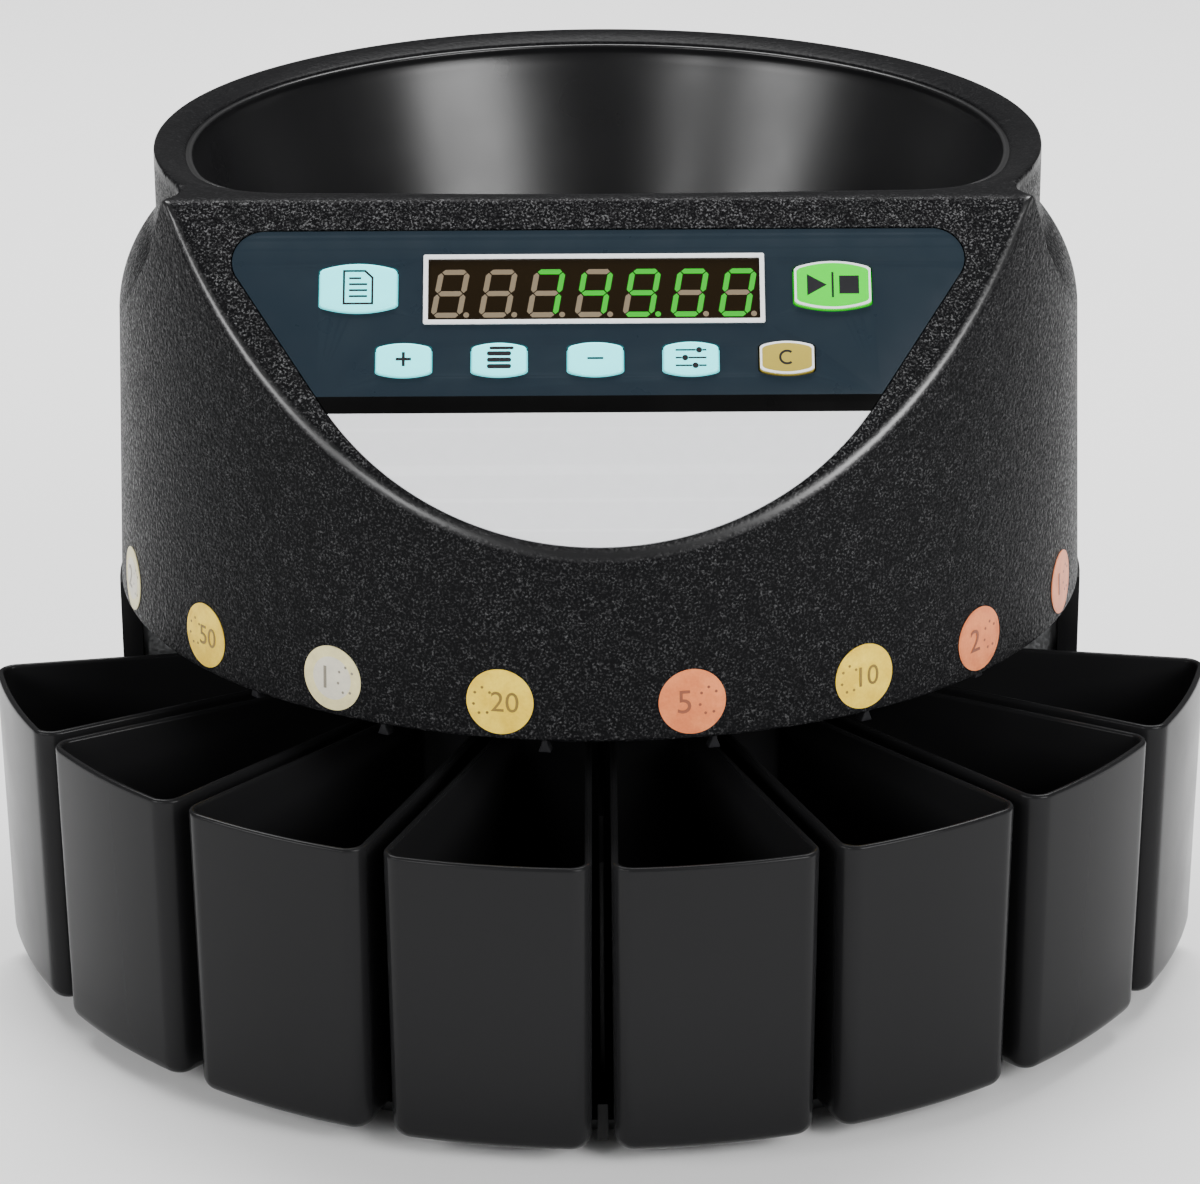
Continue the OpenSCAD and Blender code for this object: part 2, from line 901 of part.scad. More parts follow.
function segments_of(c) =
  c == "0" ? [0, 1, 2, 3, 4, 5] :
  c == "4" ? [1, 2, 5, 6] :
  c == "7" ? [0, 1, 2] :
  c == "9" ? [0, 1, 2, 3, 5, 6] : [];

// The segments and points that are on, or those that are off
module digits(on) {
  on_axis() on_recess()
    translate([display_x, display_y, overlay_t - 0.1])
      linear_extrude(0.15)
        for (i = [0:len(shown) - 1])
          translate([(i - (len(shown) - 1) / 2) * digit_pitch, digit_drop]) {
            for (n = [0:6])
              if ((len(search(n, segments_of(shown[i]))) > 0) == on) segment(n);
            if ((i == dot_after) == on)
              translate([digit_w / 2 + 1.3 - digit_slant * digit_h / 2, 0.8 - digit_h / 2])
                circle(r = 0.8, $fn = 24);
          }
}

module digits_lit() {
  color("#2ff02f") digits(true);
}

module digits_unlit() {
  color("#8d7b62") digits(false);
}

module led_module() {
  color("#26282b")
    on_axis() on_panel()
      translate([display_x, display_y, 0])
        translate([-display_w / 2 + 3, -display_h / 2 + 3, board_z + 1.6])
          cube([display_w - 6, display_h - 6, -board_z - 1.6 - wall - 0.3]);
}

module key_board() {
  color("#1f5c37")
    on_axis() on_panel()
      translate([-80, -60, board_z]) cube([160, 44, 1.6]);
}

module key_switches() {
  color("#3b3d40")
    on_axis() on_panel()
      for (k = key_places)
        translate([k[0] - 3, k[1] - 3, board_z + 1.6]) cube([6, 6, key_stem_z - 1 - board_z - 1.6]);
}

// A key: cap through the panel, flange behind it, stem down to its switch
module key(i, tint) {
  k = key_places[i];
  size = k[2] == 1 ? big_key : small_key;
  color(tint)
    on_axis() on_panel()
      translate([k[0], k[1], 0]) {
        translate([0, 0, key_flange_z]) linear_extrude(key_cap_z - key_flange_z) barrel(size, 0);
        translate([0, 0, key_flange_z - key_flange_t]) linear_extrude(key_flange_t) barrel(size, 1.6);
        translate([-2, -2, key_stem_z]) cube([4, 4, key_flange_z - key_flange_t - key_stem_z]);
      }
}

module report_key() {
  key(0, "#c4f7f7");
}

module start_stop_key() {
  key(1, "#62ef62");
}

module plus_key() {
  key(2, "#c4f7f7");
}

module batch_key() {
  key(3, "#c4f7f7");
}

module minus_key() {
  key(4, "#c4f7f7");
}

module set_key() {
  key(5, "#c4f7f7");
}

module clear_key() {
  key(6, "#b8a65c");
}

// ---- cups and labels -----------------------------------------------------------------------

// Cup number i of the fan, counted from the left. Its sides draw in a little towards the foot.
module coin_cup(i) {
  az = (i - (cup_count + 1) / 2) * cup_pitch;
  h = cup_rim_z - cup_z;
  mid = (cup_outer_r + cup_inner_r) / 2;
  color("#1b1b1d")
    on_axis()
      toward(az)
        translate([mid, 0, cup_z])
          difference() {
            linear_extrude(h, scale = 1 / cup_draft)
              scale(cup_draft) translate([-mid, 0]) cup_outline(0);
            translate([0, 0, cup_wall])
              linear_extrude(h, scale = 1 / cup_draft)
                scale(cup_draft) translate([-mid, 0]) cup_outline(cup_wall);
          }
}

module coin_cup_1() {
  coin_cup(1);
}

module coin_cup_2() {
  coin_cup(2);
}

module coin_cup_3() {
  coin_cup(3);
}

module coin_cup_4() {
  coin_cup(4);
}

module coin_cup_5() {
  coin_cup(5);
}

module coin_cup_6() {
  coin_cup(6);
}

module coin_cup_7() {
  coin_cup(7);
}

module coin_cup_8() {
  coin_cup(8);
}

// Thin round labels that lie on the drafted wall, above the cups of the listed numbers
module wall_labels(list) {
  z0 = label_z - label_d / 2;
  z1 = label_z + label_d / 2;
  on_axis()
    for (i = list)
      intersection() {
        rotate_extrude($fn = 180)
          polygon([[wall_r(z0), z0], [wall_r(z0) + 0.25, z0], [wall_r(z1) + 0.25, z1], [wall_r(z1), z1]]);
        toward(label_az[i])
          translate([drum_r - 10, 0, label_z]) rotate([0, 90, 0]) cylinder(r = label_d / 2, h = 20);
      }
}

module labels_gold() {
  color("#d9be4f") wall_labels([1, 3, 5]);
}

module labels_copper() {
  color("#c98d6c") wall_labels([4, 6, 7]);
}

module labels_bimetal() {
  color("#cfc9ae") wall_labels([0, 2]);
}

rubber_feet();
base_tray();
cup_dividers();
lower_housing();
side_brackets();
deck_plate();
exit_chutes();
exit_sensors();
sorting_rail();
rail_cover();
coin_disc();
disc_knob();
disc_shaft();
bearing_housing();
ball_bearings();
disc_pulley();
drive_belt();
motor_pulley();
motor_shaft();
drive_motor();
motor_bracket();
transformer();
main_board();
board_parts();
power_inlet();
switch_frame();
power_rocker();
printer_port();
drum_cover();
hopper_funnel();
control_overlay();
overlay_strip();
label_plate();
display_bezel();
display_window();
digits_lit();
digits_unlit();
led_module();
key_board();
key_switches();
report_key();
start_stop_key();
plus_key();
batch_key();
minus_key();
set_key();
clear_key();
coin_cup_1();
coin_cup_2();
coin_cup_3();
coin_cup_4();
coin_cup_5();
coin_cup_6();
coin_cup_7();
coin_cup_8();
labels_gold();
labels_copper();
labels_bimetal();
base_screws();
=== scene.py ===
import json
import math

import bmesh
import bpy
import numpy as np
from mathutils import Matrix, Vector


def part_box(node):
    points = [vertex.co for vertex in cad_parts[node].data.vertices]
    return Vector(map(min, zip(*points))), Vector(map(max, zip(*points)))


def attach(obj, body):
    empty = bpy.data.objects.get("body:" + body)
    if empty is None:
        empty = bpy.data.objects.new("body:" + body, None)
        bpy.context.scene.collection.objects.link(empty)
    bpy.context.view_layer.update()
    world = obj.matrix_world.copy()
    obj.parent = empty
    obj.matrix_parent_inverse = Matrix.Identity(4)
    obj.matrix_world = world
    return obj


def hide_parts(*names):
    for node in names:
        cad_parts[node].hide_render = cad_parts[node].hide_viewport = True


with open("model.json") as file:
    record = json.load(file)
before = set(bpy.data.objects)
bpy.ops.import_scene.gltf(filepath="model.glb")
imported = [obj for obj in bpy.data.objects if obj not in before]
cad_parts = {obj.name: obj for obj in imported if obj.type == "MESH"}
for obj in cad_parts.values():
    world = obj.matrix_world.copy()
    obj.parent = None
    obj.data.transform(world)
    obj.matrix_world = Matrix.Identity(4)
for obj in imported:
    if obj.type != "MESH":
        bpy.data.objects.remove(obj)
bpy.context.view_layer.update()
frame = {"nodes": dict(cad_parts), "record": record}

# Shapes are worked out in millimetres round the machine's axis, then moved to the shared frame
# in metres.
MM = 0.001


def centre_of(node):
    low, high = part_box(node)
    return (low + high) / 2


AXIS_Y = centre_of("disc_shaft").y / MM
DRUM_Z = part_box("drum_cover")[0].z / MM
TOP_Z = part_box("drum_cover")[1].z / MM

# Millimetres round the axis; forward is the distance towards the control panel.
DRUM_R = 143.5
DRUM_TOP_R = 139.0
SHOULDER_R = 38.0
SHOULDER_Z = 194.0
RING_R = 128.8
MOUTH_R = 119.5
MOUTH_CHORD = 58.0
MOUTH_CORNER = 35.0
LIP_DROP = 2.4
LIP_W = 9.0
SHELL = 2.6
PANEL_FORWARD = 71.0
PANEL_SLOPE = math.radians(48)
CHEEK_FORWARD = 68.0
CHEEK_SLOPE = math.radians(65)
# Radii of the rounded edges and of the blends between the forms
RING_ROUND = 1.0
RING_FILLET = 3.0
CHEEK_TOP_ROUND = 2.0
CHEEK_BACK_ROUND = 4.0
CHEEK_BLEND = 16.0
FOOT_ROUND = 1.2
MOUTH_ROUND = 0.8


# ---- mesh helpers ----


def linked_object(name, data):
    obj = bpy.data.objects.new(name, data)
    bpy.context.scene.collection.objects.link(obj)
    return obj


def mesh_result(obj):
    """The mesh of an object after its curves or modifiers are worked out."""
    bpy.context.view_layer.update()
    graph = bpy.context.evaluated_depsgraph_get()
    return bpy.data.meshes.new_from_object(obj.evaluated_get(graph))


def curve_result(name, curve):
    """The mesh of a curve, which is then removed."""
    holder = linked_object(name, curve)
    mesh = mesh_result(holder)
    bpy.data.objects.remove(holder)
    bpy.data.curves.remove(curve)
    return mesh


def face_outwards(mesh):
    bm = bmesh.new()
    bm.from_mesh(mesh)
    bmesh.ops.recalc_face_normals(bm, faces=bm.faces)
    bm.to_mesh(mesh)
    bm.free()


def smooth_faces(mesh, sharp_angle):
    mesh.shade_smooth()
    mesh.set_sharp_from_angle(angle=math.radians(sharp_angle))


def add_piece(name, verts, faces, body, material, replaces, sharp_angle):
    """A mesh object from points in millimetres round the axis, riding on a body."""
    mesh = bpy.data.meshes.new(name)
    points = np.asarray(verts, float) * MM + [0, AXIS_Y * MM, 0]
    mesh.from_pydata(points.tolist(), [], faces)
    mesh.update()
    return finish_piece(name, mesh, body, material, replaces, sharp_angle)


def finish_piece(name, mesh, body, material, replaces=(), sharp_angle=40):
    """Makes a mesh in the shared frame a visible piece that rides on a body."""
    face_outwards(mesh)
    obj = linked_object(name, mesh)
    mesh.materials.clear()
    mesh.materials.append(material)
    smooth_faces(mesh, sharp_angle)
    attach(obj, body)
    if replaces:
        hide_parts(*replaces)
    return obj


def loft(loops, closed=False):
    """Joins closed loops of equal length into one surface, with flat caps at the ends."""
    loops = np.asarray(loops, float)
    rows, count = loops.shape[:2]
    verts = loops.reshape(-1, 3)
    faces = []
    for row in range(rows if closed else rows - 1):
        a = row * count
        b = (row + 1) % rows * count
        for i in range(count):
            j = (i + 1) % count
            faces.append((a + i, a + j, b + j, b + i))
    if not closed:
        faces.append(tuple(range(count))[::-1])
        faces.append(tuple(range((rows - 1) * count, rows * count)))
    return verts, faces


def merge_parts(parts):
    """One vertex list and face list from several."""
    verts, faces = [], []
    for part_verts, part_faces in parts:
        offset = len(verts)
        verts.extend(np.asarray(part_verts, float).tolist())
        faces.extend(tuple(i + offset for i in face) for face in part_faces)
    return verts, faces


def rounded_box(low, high, radius):
    """A box with rounded vertical and horizontal edges, as a loft of rounded rectangles."""
    low, high = np.array(low, float), np.array(high, float)
    loops = []
    quarter = np.linspace(0, np.pi / 2, 4)
    levels = [(1 - math.sin(a), 1 - math.cos(a)) for a in quarter]
    profile = [(radius * inset, low[2] + radius * up) for inset, up in levels]
    profile += [(inset, low[2] + high[2] - z) for inset, z in profile[::-1]]
    for inset, z in profile:
        loop = []
        for corner, (sx, sy) in enumerate([(1, 1), (-1, 1), (-1, -1), (1, -1)]):
            cx = (high[0] - radius) if sx > 0 else (low[0] + radius)
            cy = (high[1] - radius) if sy > 0 else (low[1] + radius)
            for a in quarter:
                t = a + corner * np.pi / 2
                reach = max(radius - inset, 0.01)
                loop.append((cx + reach * math.cos(t), cy + reach * math.sin(t), z))
        loops.append(loop)
    return loft(loops)


def plate_mesh(name, loops, z0, z1, bevel=0.0, bevel_steps=2):
    """A flat plate with holes from closed 2-D loops in millimetres, its edges softened."""
    curve = bpy.data.curves.new(name, "CURVE")
    curve.dimensions = "2D"
    curve.fill_mode = "BOTH"
    curve.extrude = max((z1 - z0) / 2 - bevel, 0)
    curve.bevel_depth = bevel
    curve.bevel_resolution = bevel_steps
    curve.offset = -bevel
    for loop in loops:
        spline = curve.splines.new("POLY")
        spline.points.add(len(loop) - 1)
        for point, (x, y) in zip(spline.points, loop):
            point.co = (x, y, 0, 1)
        spline.use_cyclic_u = True
    mesh = curve_result(name, curve)
    bm = bmesh.new()
    bm.from_mesh(mesh)
    bmesh.ops.remove_doubles(bm, verts=bm.verts, dist=0.0005)
    bm.to_mesh(mesh)
    bm.free()
    mesh.transform(Matrix.Translation((0, 0, (z0 + z1) / 2)))
    return mesh


def glyph_mesh(name, text, height, thickness):
    """A short text as a thin solid, centred on the origin."""
    curve = bpy.data.curves.new(name, "FONT")
    curve.body = text
    curve.size = height
    curve.align_x = "CENTER"
    curve.align_y = "CENTER"
    curve.extrude = thickness / 2
    curve.resolution_u = 4
    mesh = curve_result(name, curve)
    co = mesh_points(mesh)
    middle = (co.min(0) + co.max(0)) / 2
    mesh.transform(Matrix.Translation((-middle[0], -middle[1], -middle[2])))
    return mesh


def mesh_points(mesh):
    co = np.zeros(len(mesh.vertices) * 3)
    mesh.vertices.foreach_get("co", co)
    return co.reshape(-1, 3)


def set_points(mesh, points):
    mesh.vertices.foreach_set("co", np.asarray(points, np.float32).ravel())
    mesh.update()


def join_meshes(name, meshes):
    bm = bmesh.new()
    for mesh in meshes:
        bm.from_mesh(mesh)
    joined = bpy.data.meshes.new(name)
    bm.to_mesh(joined)
    bm.free()
    return joined


def mesh_from(name, part):
    mesh = bpy.data.meshes.new(name)
    mesh.from_pydata(np.asarray(part[0], float).tolist(), [], part[1])
    mesh.update()
    return mesh


def to_frame(mesh):
    """From millimetres round the axis to metres in the shared frame."""
    mesh.transform(Matrix.Translation((0, AXIS_Y * MM, 0)) @ Matrix.Scale(MM, 4))
    return mesh


# Edges sharper than this many degrees are rounded or kept sharp in shading
SHARP_EDGE = 35


def softened(node, body, material, width):
    """A copy of a CAD node with its sharp edges rounded off, standing for the node."""
    source = frame["nodes"][node].data
    bm = bmesh.new()
    bm.from_mesh(source)
    bmesh.ops.remove_doubles(bm, verts=bm.verts, dist=0.000002)
    bmesh.ops.dissolve_limit(bm, angle_limit=math.radians(1), verts=bm.verts, edges=bm.edges)
    bmesh.ops.recalc_face_normals(bm, faces=bm.faces)
    edges = [
        e for e in bm.edges
        if len(e.link_faces) == 2 and e.calc_face_angle(0) > math.radians(SHARP_EDGE)
        and e.calc_length() > width * MM * 0.2
    ]
    bmesh.ops.bevel(
        bm, geom=edges, offset=width * MM, segments=2, profile=0.6,
        affect="EDGES", clamp_overlap=True,
    )
    mesh = bpy.data.meshes.new(node)
    bm.to_mesh(mesh)
    bm.free()
    return finish_piece(node + "_soft", mesh, body, material, [node])


# ---- materials ----


class Surface:
    """A small builder for one node material."""

    def __init__(self, name, color, rough, metallic=0.0, specular=0.5):
        self.material = bpy.data.materials.new(name)
        self.material.use_nodes = True
        self.nodes = self.material.node_tree.nodes
        self.links = self.material.node_tree.links
        self.shader = self.nodes["Principled BSDF"]
        self.shader.inputs["Base Color"].default_value = (*color, 1)
        self.shader.inputs["Roughness"].default_value = rough
        self.shader.inputs["Metallic"].default_value = metallic
        self.shader.inputs["Specular IOR Level"].default_value = specular
        self.material.diffuse_color = (*color, 1)
        self.where = self.nodes.new("ShaderNodeTexCoord").outputs["Object"]
        self.normal = None

    def add(self, kind, inputs=None, **settings):
        node = self.nodes.new(kind)
        for key, value in settings.items():
            setattr(node, key, value)
        for key, value in (inputs or {}).items():
            if isinstance(value, bpy.types.NodeSocket):
                self.links.new(value, node.inputs[key])
            else:
                node.inputs[key].default_value = value
        return node

    def noise(self, size_mm, detail=2, where=None, roughness=0.5):
        """Fine noise from 0 to 1 whose grains are about size_mm across."""
        node = self.add(
            "ShaderNodeTexNoise",
            {"Vector": where or self.where, "Scale": 1000 / size_mm, "Detail": detail,
             "Roughness": roughness},
        )
        return node.outputs["Fac"]

    def cells(self, size_mm, feature):
        """Rounded cells about size_mm across."""
        node = self.add(
            "ShaderNodeTexVoronoi",
            {"Vector": self.where, "Scale": 1000 / size_mm},
            feature=feature,
        )
        return node.outputs["Distance"]

    def remap(self, value, low, high, to_low, to_high):
        node = self.add(
            "ShaderNodeMapRange",
            {"Value": value, "From Min": low, "From Max": high,
             "To Min": to_low, "To Max": to_high},
        )
        return node.outputs["Result"]

    def math(self, operation, a, b):
        return self.add("ShaderNodeMath", {0: a, 1: b}, operation=operation).outputs[0]

    def mix_color(self, factor, a, b):
        node = self.add("ShaderNodeMix", data_type="RGBA")
        self.links.new(factor, node.inputs["Factor"])
        for index, value in ((6, a), (7, b)):
            if isinstance(value, bpy.types.NodeSocket):
                self.links.new(value, node.inputs[index])
            else:
                node.inputs[index].default_value = (*value, 1)
        return node.outputs[2]

    def bump(self, height, depth_mm, strength=1.0):
        node = self.add(
            "ShaderNodeBump", {"Height": height, "Distance": depth_mm * MM, "Strength": strength}
        )
        if self.normal:
            self.links.new(self.normal, node.inputs["Normal"])
        self.normal = node.outputs["Normal"]
        self.links.new(self.normal, self.shader.inputs["Normal"])

    def drive(self, socket, value):
        self.links.new(value, self.shader.inputs[socket])

    def vary_color(self, size_mm, detail, color, darkest):
        """Faint cloudy change of tone, down to a share of the colour."""
        clouds = self.noise(size_mm, detail)
        self.drive("Base Color", self.mix_color(clouds, color, tuple(c * darkest for c in color)))

    def glow(self, color, strength):
        self.shader.inputs["Emission Color"].default_value = (*color, 1)
        self.shader.inputs["Emission Strength"].default_value = strength


def film(name, color, rough, variation=0.03, specular=0.5):
    """Printed or smooth plastic with faint unevenness."""
    s = Surface(name, color, rough, specular=specular)
    wave = s.noise(9, 3)
    s.drive("Roughness", s.remap(wave, 0.3, 0.7, rough - variation, rough + variation))
    s.vary_color(4, 2, color, 0.93)
    s.bump(s.noise(1.5, 2), 0.01, 0.3)
    return s.material


def moulded(name, color, rough, grain_mm, grain_depth, specular=0.5):
    """Moulded plastic with a fine even grain."""
    s = Surface(name, color, rough, specular=specular)
    s.drive("Roughness", s.remap(s.noise(14, 3), 0.3, 0.7, rough - 0.05, rough + 0.05))
    s.vary_color(6, 3, color, 0.85)
    s.bump(s.noise(grain_mm, 3), grain_depth, 0.5)
    return s.material


def metal(name, color, rough, grain_mm, stretch=(1, 1, 1)):
    """Metal with brushed or cast grain."""
    s = Surface(name, color, rough, metallic=1.0)
    stretched = s.add("ShaderNodeMapping", {"Vector": s.where, "Scale": stretch}).outputs[0]
    grain = s.noise(grain_mm, 3, where=stretched)
    s.drive("Roughness", s.remap(grain, 0.3, 0.7, rough - 0.08, rough + 0.1))
    s.vary_color(11, 3, color, 0.85)
    s.bump(grain, 0.01, 0.4)
    return s.material


def textured_black():
    """Leather-like mould grain that fades out on the two ridges and on the hopper ring's top; pale
    specks painted into its colour stand in for glints of light on the grain.
    """
    s = Surface("textured_black_plastic", (0.005, 0.005, 0.0055), 0.42, specular=0.4)
    x, y, z = s.add("ShaderNodeSeparateXYZ", {"Vector": s.where}).outputs
    back = s.math("SUBTRACT", y, AXIS_Y * MM)
    r = s.math("SQRT", s.math("ADD", s.math("POWER", x, 2.0), s.math("POWER", back, 2.0)), 0.0)
    draft = (DRUM_R - DRUM_TOP_R) / (TOP_Z - DRUM_Z)
    wall = s.math("ADD", r, s.math("MULTIPLY", z, draft))
    wall = s.math("SUBTRACT", wall, (DRUM_R + DRUM_Z * draft) * MM)
    panel = s.math("MULTIPLY", back, -math.sin(PANEL_SLOPE))
    panel = s.math("ADD", panel, s.math("MULTIPLY", z, math.cos(PANEL_SLOPE)))
    level = PANEL_FORWARD * math.sin(PANEL_SLOPE) + TOP_Z * math.cos(PANEL_SLOPE)
    panel = s.math("SUBTRACT", panel, level * MM)
    ridge = s.remap(s.math("MINIMUM", wall, panel), -1.5 * MM, -0.6 * MM, 0.0, 1.0)
    ring_top = s.remap(z, (TOP_Z - 5.0) * MM, (TOP_Z - 2.0) * MM, 0.0, 0.75)
    ring_top = s.math("MULTIPLY", ring_top, s.remap(panel, -3.0 * MM, -1.0 * MM, 1.0, 0.0))
    amount = s.math("SUBTRACT", 1.0, s.math("MAXIMUM", ridge, ring_top))

    pebbles = s.cells(1.25, "SMOOTH_F1")
    creases = s.noise(0.9, 3)
    height = s.math("ADD", s.math("MULTIPLY", pebbles, -0.8), s.math("MULTIPLY", creases, 0.7))
    s.bump(height, 0.42, s.math("MULTIPLY", amount, 0.75))
    # Pale specks in the base colour are painted glints: colour standing in for light catching the
    # grain.
    painted_glints = s.remap(s.noise(0.62, 3, roughness=0.65), 0.52, 0.72, 0.0, 1.0)
    patches = s.remap(s.noise(3.5, 2), 0.35, 0.65, 0.35, 1.0)
    # The painted glints are stronger on the panel than on the wall, to match how the light falls
    # on each.
    panel_glint_boost = s.remap(panel, -1.0 * MM, -0.4 * MM, 0.0, 1.0)
    panel_glint_boost = s.math("MULTIPLY", panel_glint_boost, s.remap(wall, -3.0 * MM, -1.5 * MM, 1.0, 0.0))
    glint_paint = s.math("MULTIPLY", s.math("MULTIPLY", painted_glints, patches), amount)
    glint_paint = s.math("MULTIPLY", glint_paint, s.math("ADD", 0.75, panel_glint_boost))
    # Dark base colour with the pale colour of the painted glints mixed in.
    s.drive("Base Color", s.mix_color(glint_paint, (0.004, 0.004, 0.0045), (0.10, 0.10, 0.102)))
    grain = s.remap(s.noise(0.9, 2), 0.35, 0.65, 0.0, 0.34)
    s.drive("Roughness", s.math("ADD", s.math("MULTIPLY", grain, amount), 0.28))
    s.drive("Specular IOR Level", s.remap(ridge, 0.0, 1.0, 0.04, 0.6))
    return s.material


def funnel_black():
    s = Surface("funnel_black_plastic", (0.004, 0.004, 0.0045), 0.3, specular=0.4)
    s.drive("Roughness", s.remap(s.noise(30, 3), 0.3, 0.7, 0.27, 0.33))
    s.bump(s.noise(0.5, 2), 0.012, 0.5)
    s.bump(s.noise(45, 1), 0.05, 0.3)
    return s.material


def cup_black():
    s = Surface("cup_black_plastic", (0.010, 0.010, 0.0105), 0.22, specular=0.09)
    s.drive("Roughness", s.remap(s.noise(25, 3), 0.3, 0.7, 0.19, 0.26))
    s.bump(s.noise(40, 2), 0.06, 0.25)
    s.bump(s.noise(0.7, 2), 0.006, 0.4)
    return s.material


def glowing(name, color, strength):
    s = Surface(name, tuple(c * 0.1 for c in color), 0.4)
    s.glow(color, strength)
    s.bump(s.noise(0.6, 2), 0.01, 0.3)
    return s.material


def foil(name, color, second):
    """Printed foil with a mottled coin-like relief."""
    s = Surface(name, color, 0.36, metallic=0.35, specular=0.5)
    mottled = s.noise(0.7, 4)
    clouds = s.remap(s.noise(5, 2), 0.35, 0.65, 0.0, 0.5)
    blend = s.math("ADD", s.math("MULTIPLY", mottled, 0.7), clouds)
    s.drive("Base Color", s.mix_color(blend, color, second))
    s.bump(mottled, 0.04, 0.5)
    return s.material


def painted_glow_plastic(name, color, rough, strength):
    """Key plastic with a painted glow of its own colour, brightening it as light falling on it
    would.
    """
    s = Surface(name, color, rough)
    # The glow is painted light that brightens the key; the key is not a lamp.
    s.glow(color, strength)
    s.vary_color(4, 2, color, 0.94)
    s.bump(s.noise(1.5, 2), 0.01, 0.3)
    return s.material


def board_green():
    s = Surface("circuit_board", (0.02, 0.12, 0.05), 0.35)
    lanes = s.add(
        "ShaderNodeTexBrick", {"Vector": s.where, "Scale": 160.0, "Mortar Size": 0.03},
    ).outputs["Fac"]
    s.drive("Base Color", s.mix_color(lanes, (0.02, 0.12, 0.05), (0.05, 0.22, 0.10)))
    s.bump(lanes, 0.03, 0.5)
    return s.material


MATERIALS = {
    material.name.split(".")[0]: material
    for material in (
        textured_black(),
        funnel_black(),
        cup_black(),
        moulded("tray_black_plastic", (0.008, 0.008, 0.0085), 0.42, 0.6, 0.04, 0.2),
        film("overlay_blue_grey", (0.010, 0.018, 0.026), 0.3, specular=0.3),
        film("strip_black", (0.002, 0.002, 0.002), 0.3, specular=0.08),
        film("label_white", (0.78, 0.79, 0.81), 0.35),
        film("bezel_white", (0.85, 0.86, 0.87), 0.3),
        film("window_brown", (0.010, 0.006, 0.002), 0.12, 0.02, 0.3),
        glowing("segment_green", (0.0, 0.5, 0.003), 1.45),
        film("segment_unlit", (0.17, 0.13, 0.08), 0.4),
        # The cyan and green keys carry a painted glow that stands in for light on them.
        painted_glow_plastic("key_cyan", (0.13, 0.88, 0.93), 0.3, 1.05),
        painted_glow_plastic("key_green", (0.005, 0.55, 0.005), 0.3, 0.72),
        film("key_tan", (0.40, 0.31, 0.05), 0.3),
        foil("label_gold", (0.90, 0.66, 0.05), (0.66, 0.42, 0.01)),
        foil("label_copper", (0.80, 0.25, 0.08), (0.58, 0.14, 0.04)),
        foil("label_silver", (0.76, 0.69, 0.36), (0.56, 0.50, 0.26)),
        moulded("rubber", (0.02, 0.02, 0.02), 0.7, 0.5, 0.05),
        moulded("belt_rubber", (0.015, 0.015, 0.015), 0.6, 0.4, 0.04),
        metal("zinc_steel", (0.6, 0.61, 0.62), 0.38, 0.9),
        metal("aluminium", (0.66, 0.67, 0.68), 0.32, 0.5, (1, 1, 12)),
        metal("shaft_steel", (0.62, 0.63, 0.64), 0.22, 0.3, (1, 1, 20)),
        moulded("motor_steel", (0.25, 0.26, 0.27), 0.4, 0.5, 0.02),
        moulded("core_laminations", (0.16, 0.1, 0.06), 0.45, 0.7, 0.06),
        board_green(),
        moulded("component_black", (0.015, 0.015, 0.017), 0.4, 0.4, 0.03, 0.2),
        film("rocker_red", (0.45, 0.02, 0.02), 0.25),
        metal("screw_zinc", (0.5, 0.51, 0.52), 0.3, 0.3),
    )
}


# ---- upper housing ----


def round_max(a, b, radius):
    """The intersection of two solids given as distances, with a rounded edge."""
    inside = np.minimum(-radius, np.maximum(a, b))
    return inside + np.hypot(np.maximum(a + radius, 0), np.maximum(b + radius, 0))


def round_min(a, b, radius):
    return -round_max(-a, -b, radius)


def smooth_step(value, low, high):
    t = np.clip((value - low) / (high - low), 0, 1)
    return t * t * (3 - 2 * t)


def wall_radius(z):
    """The drum's radius at a height; the wall has a draft."""
    return DRUM_R + (DRUM_TOP_R - DRUM_R) * (z - DRUM_Z) / (TOP_Z - DRUM_Z)


def mouth_radius(azimuth):
    """Distance from the axis to the hopper mouth: a circle with a flat front and round corners."""
    turn = np.abs((azimuth + np.pi) % (2 * np.pi) - np.pi)
    corner_forward = MOUTH_CHORD - MOUTH_CORNER
    reach = MOUTH_R - MOUTH_CORNER
    corner_side = math.sqrt(reach**2 - corner_forward**2)
    start = math.atan2(corner_side, MOUTH_CHORD)
    end = math.atan2(corner_side, corner_forward)
    along = np.sin(turn) * corner_side + np.cos(turn) * corner_forward
    inside = np.maximum(along**2 - reach**2 + MOUTH_CORNER**2, 0)
    corner = along + np.sqrt(inside)
    flat = MOUTH_CHORD / np.maximum(np.cos(turn), 0.1)
    return np.where(turn < start, flat, np.where(turn < end, corner, MOUTH_R))


def lip_height(r, mouth):
    """The hopper ring's top dips a little towards the mouth."""
    t = np.clip((mouth + LIP_W - r) / LIP_W, 0, 1)
    return TOP_Z - LIP_DROP * t**1.6


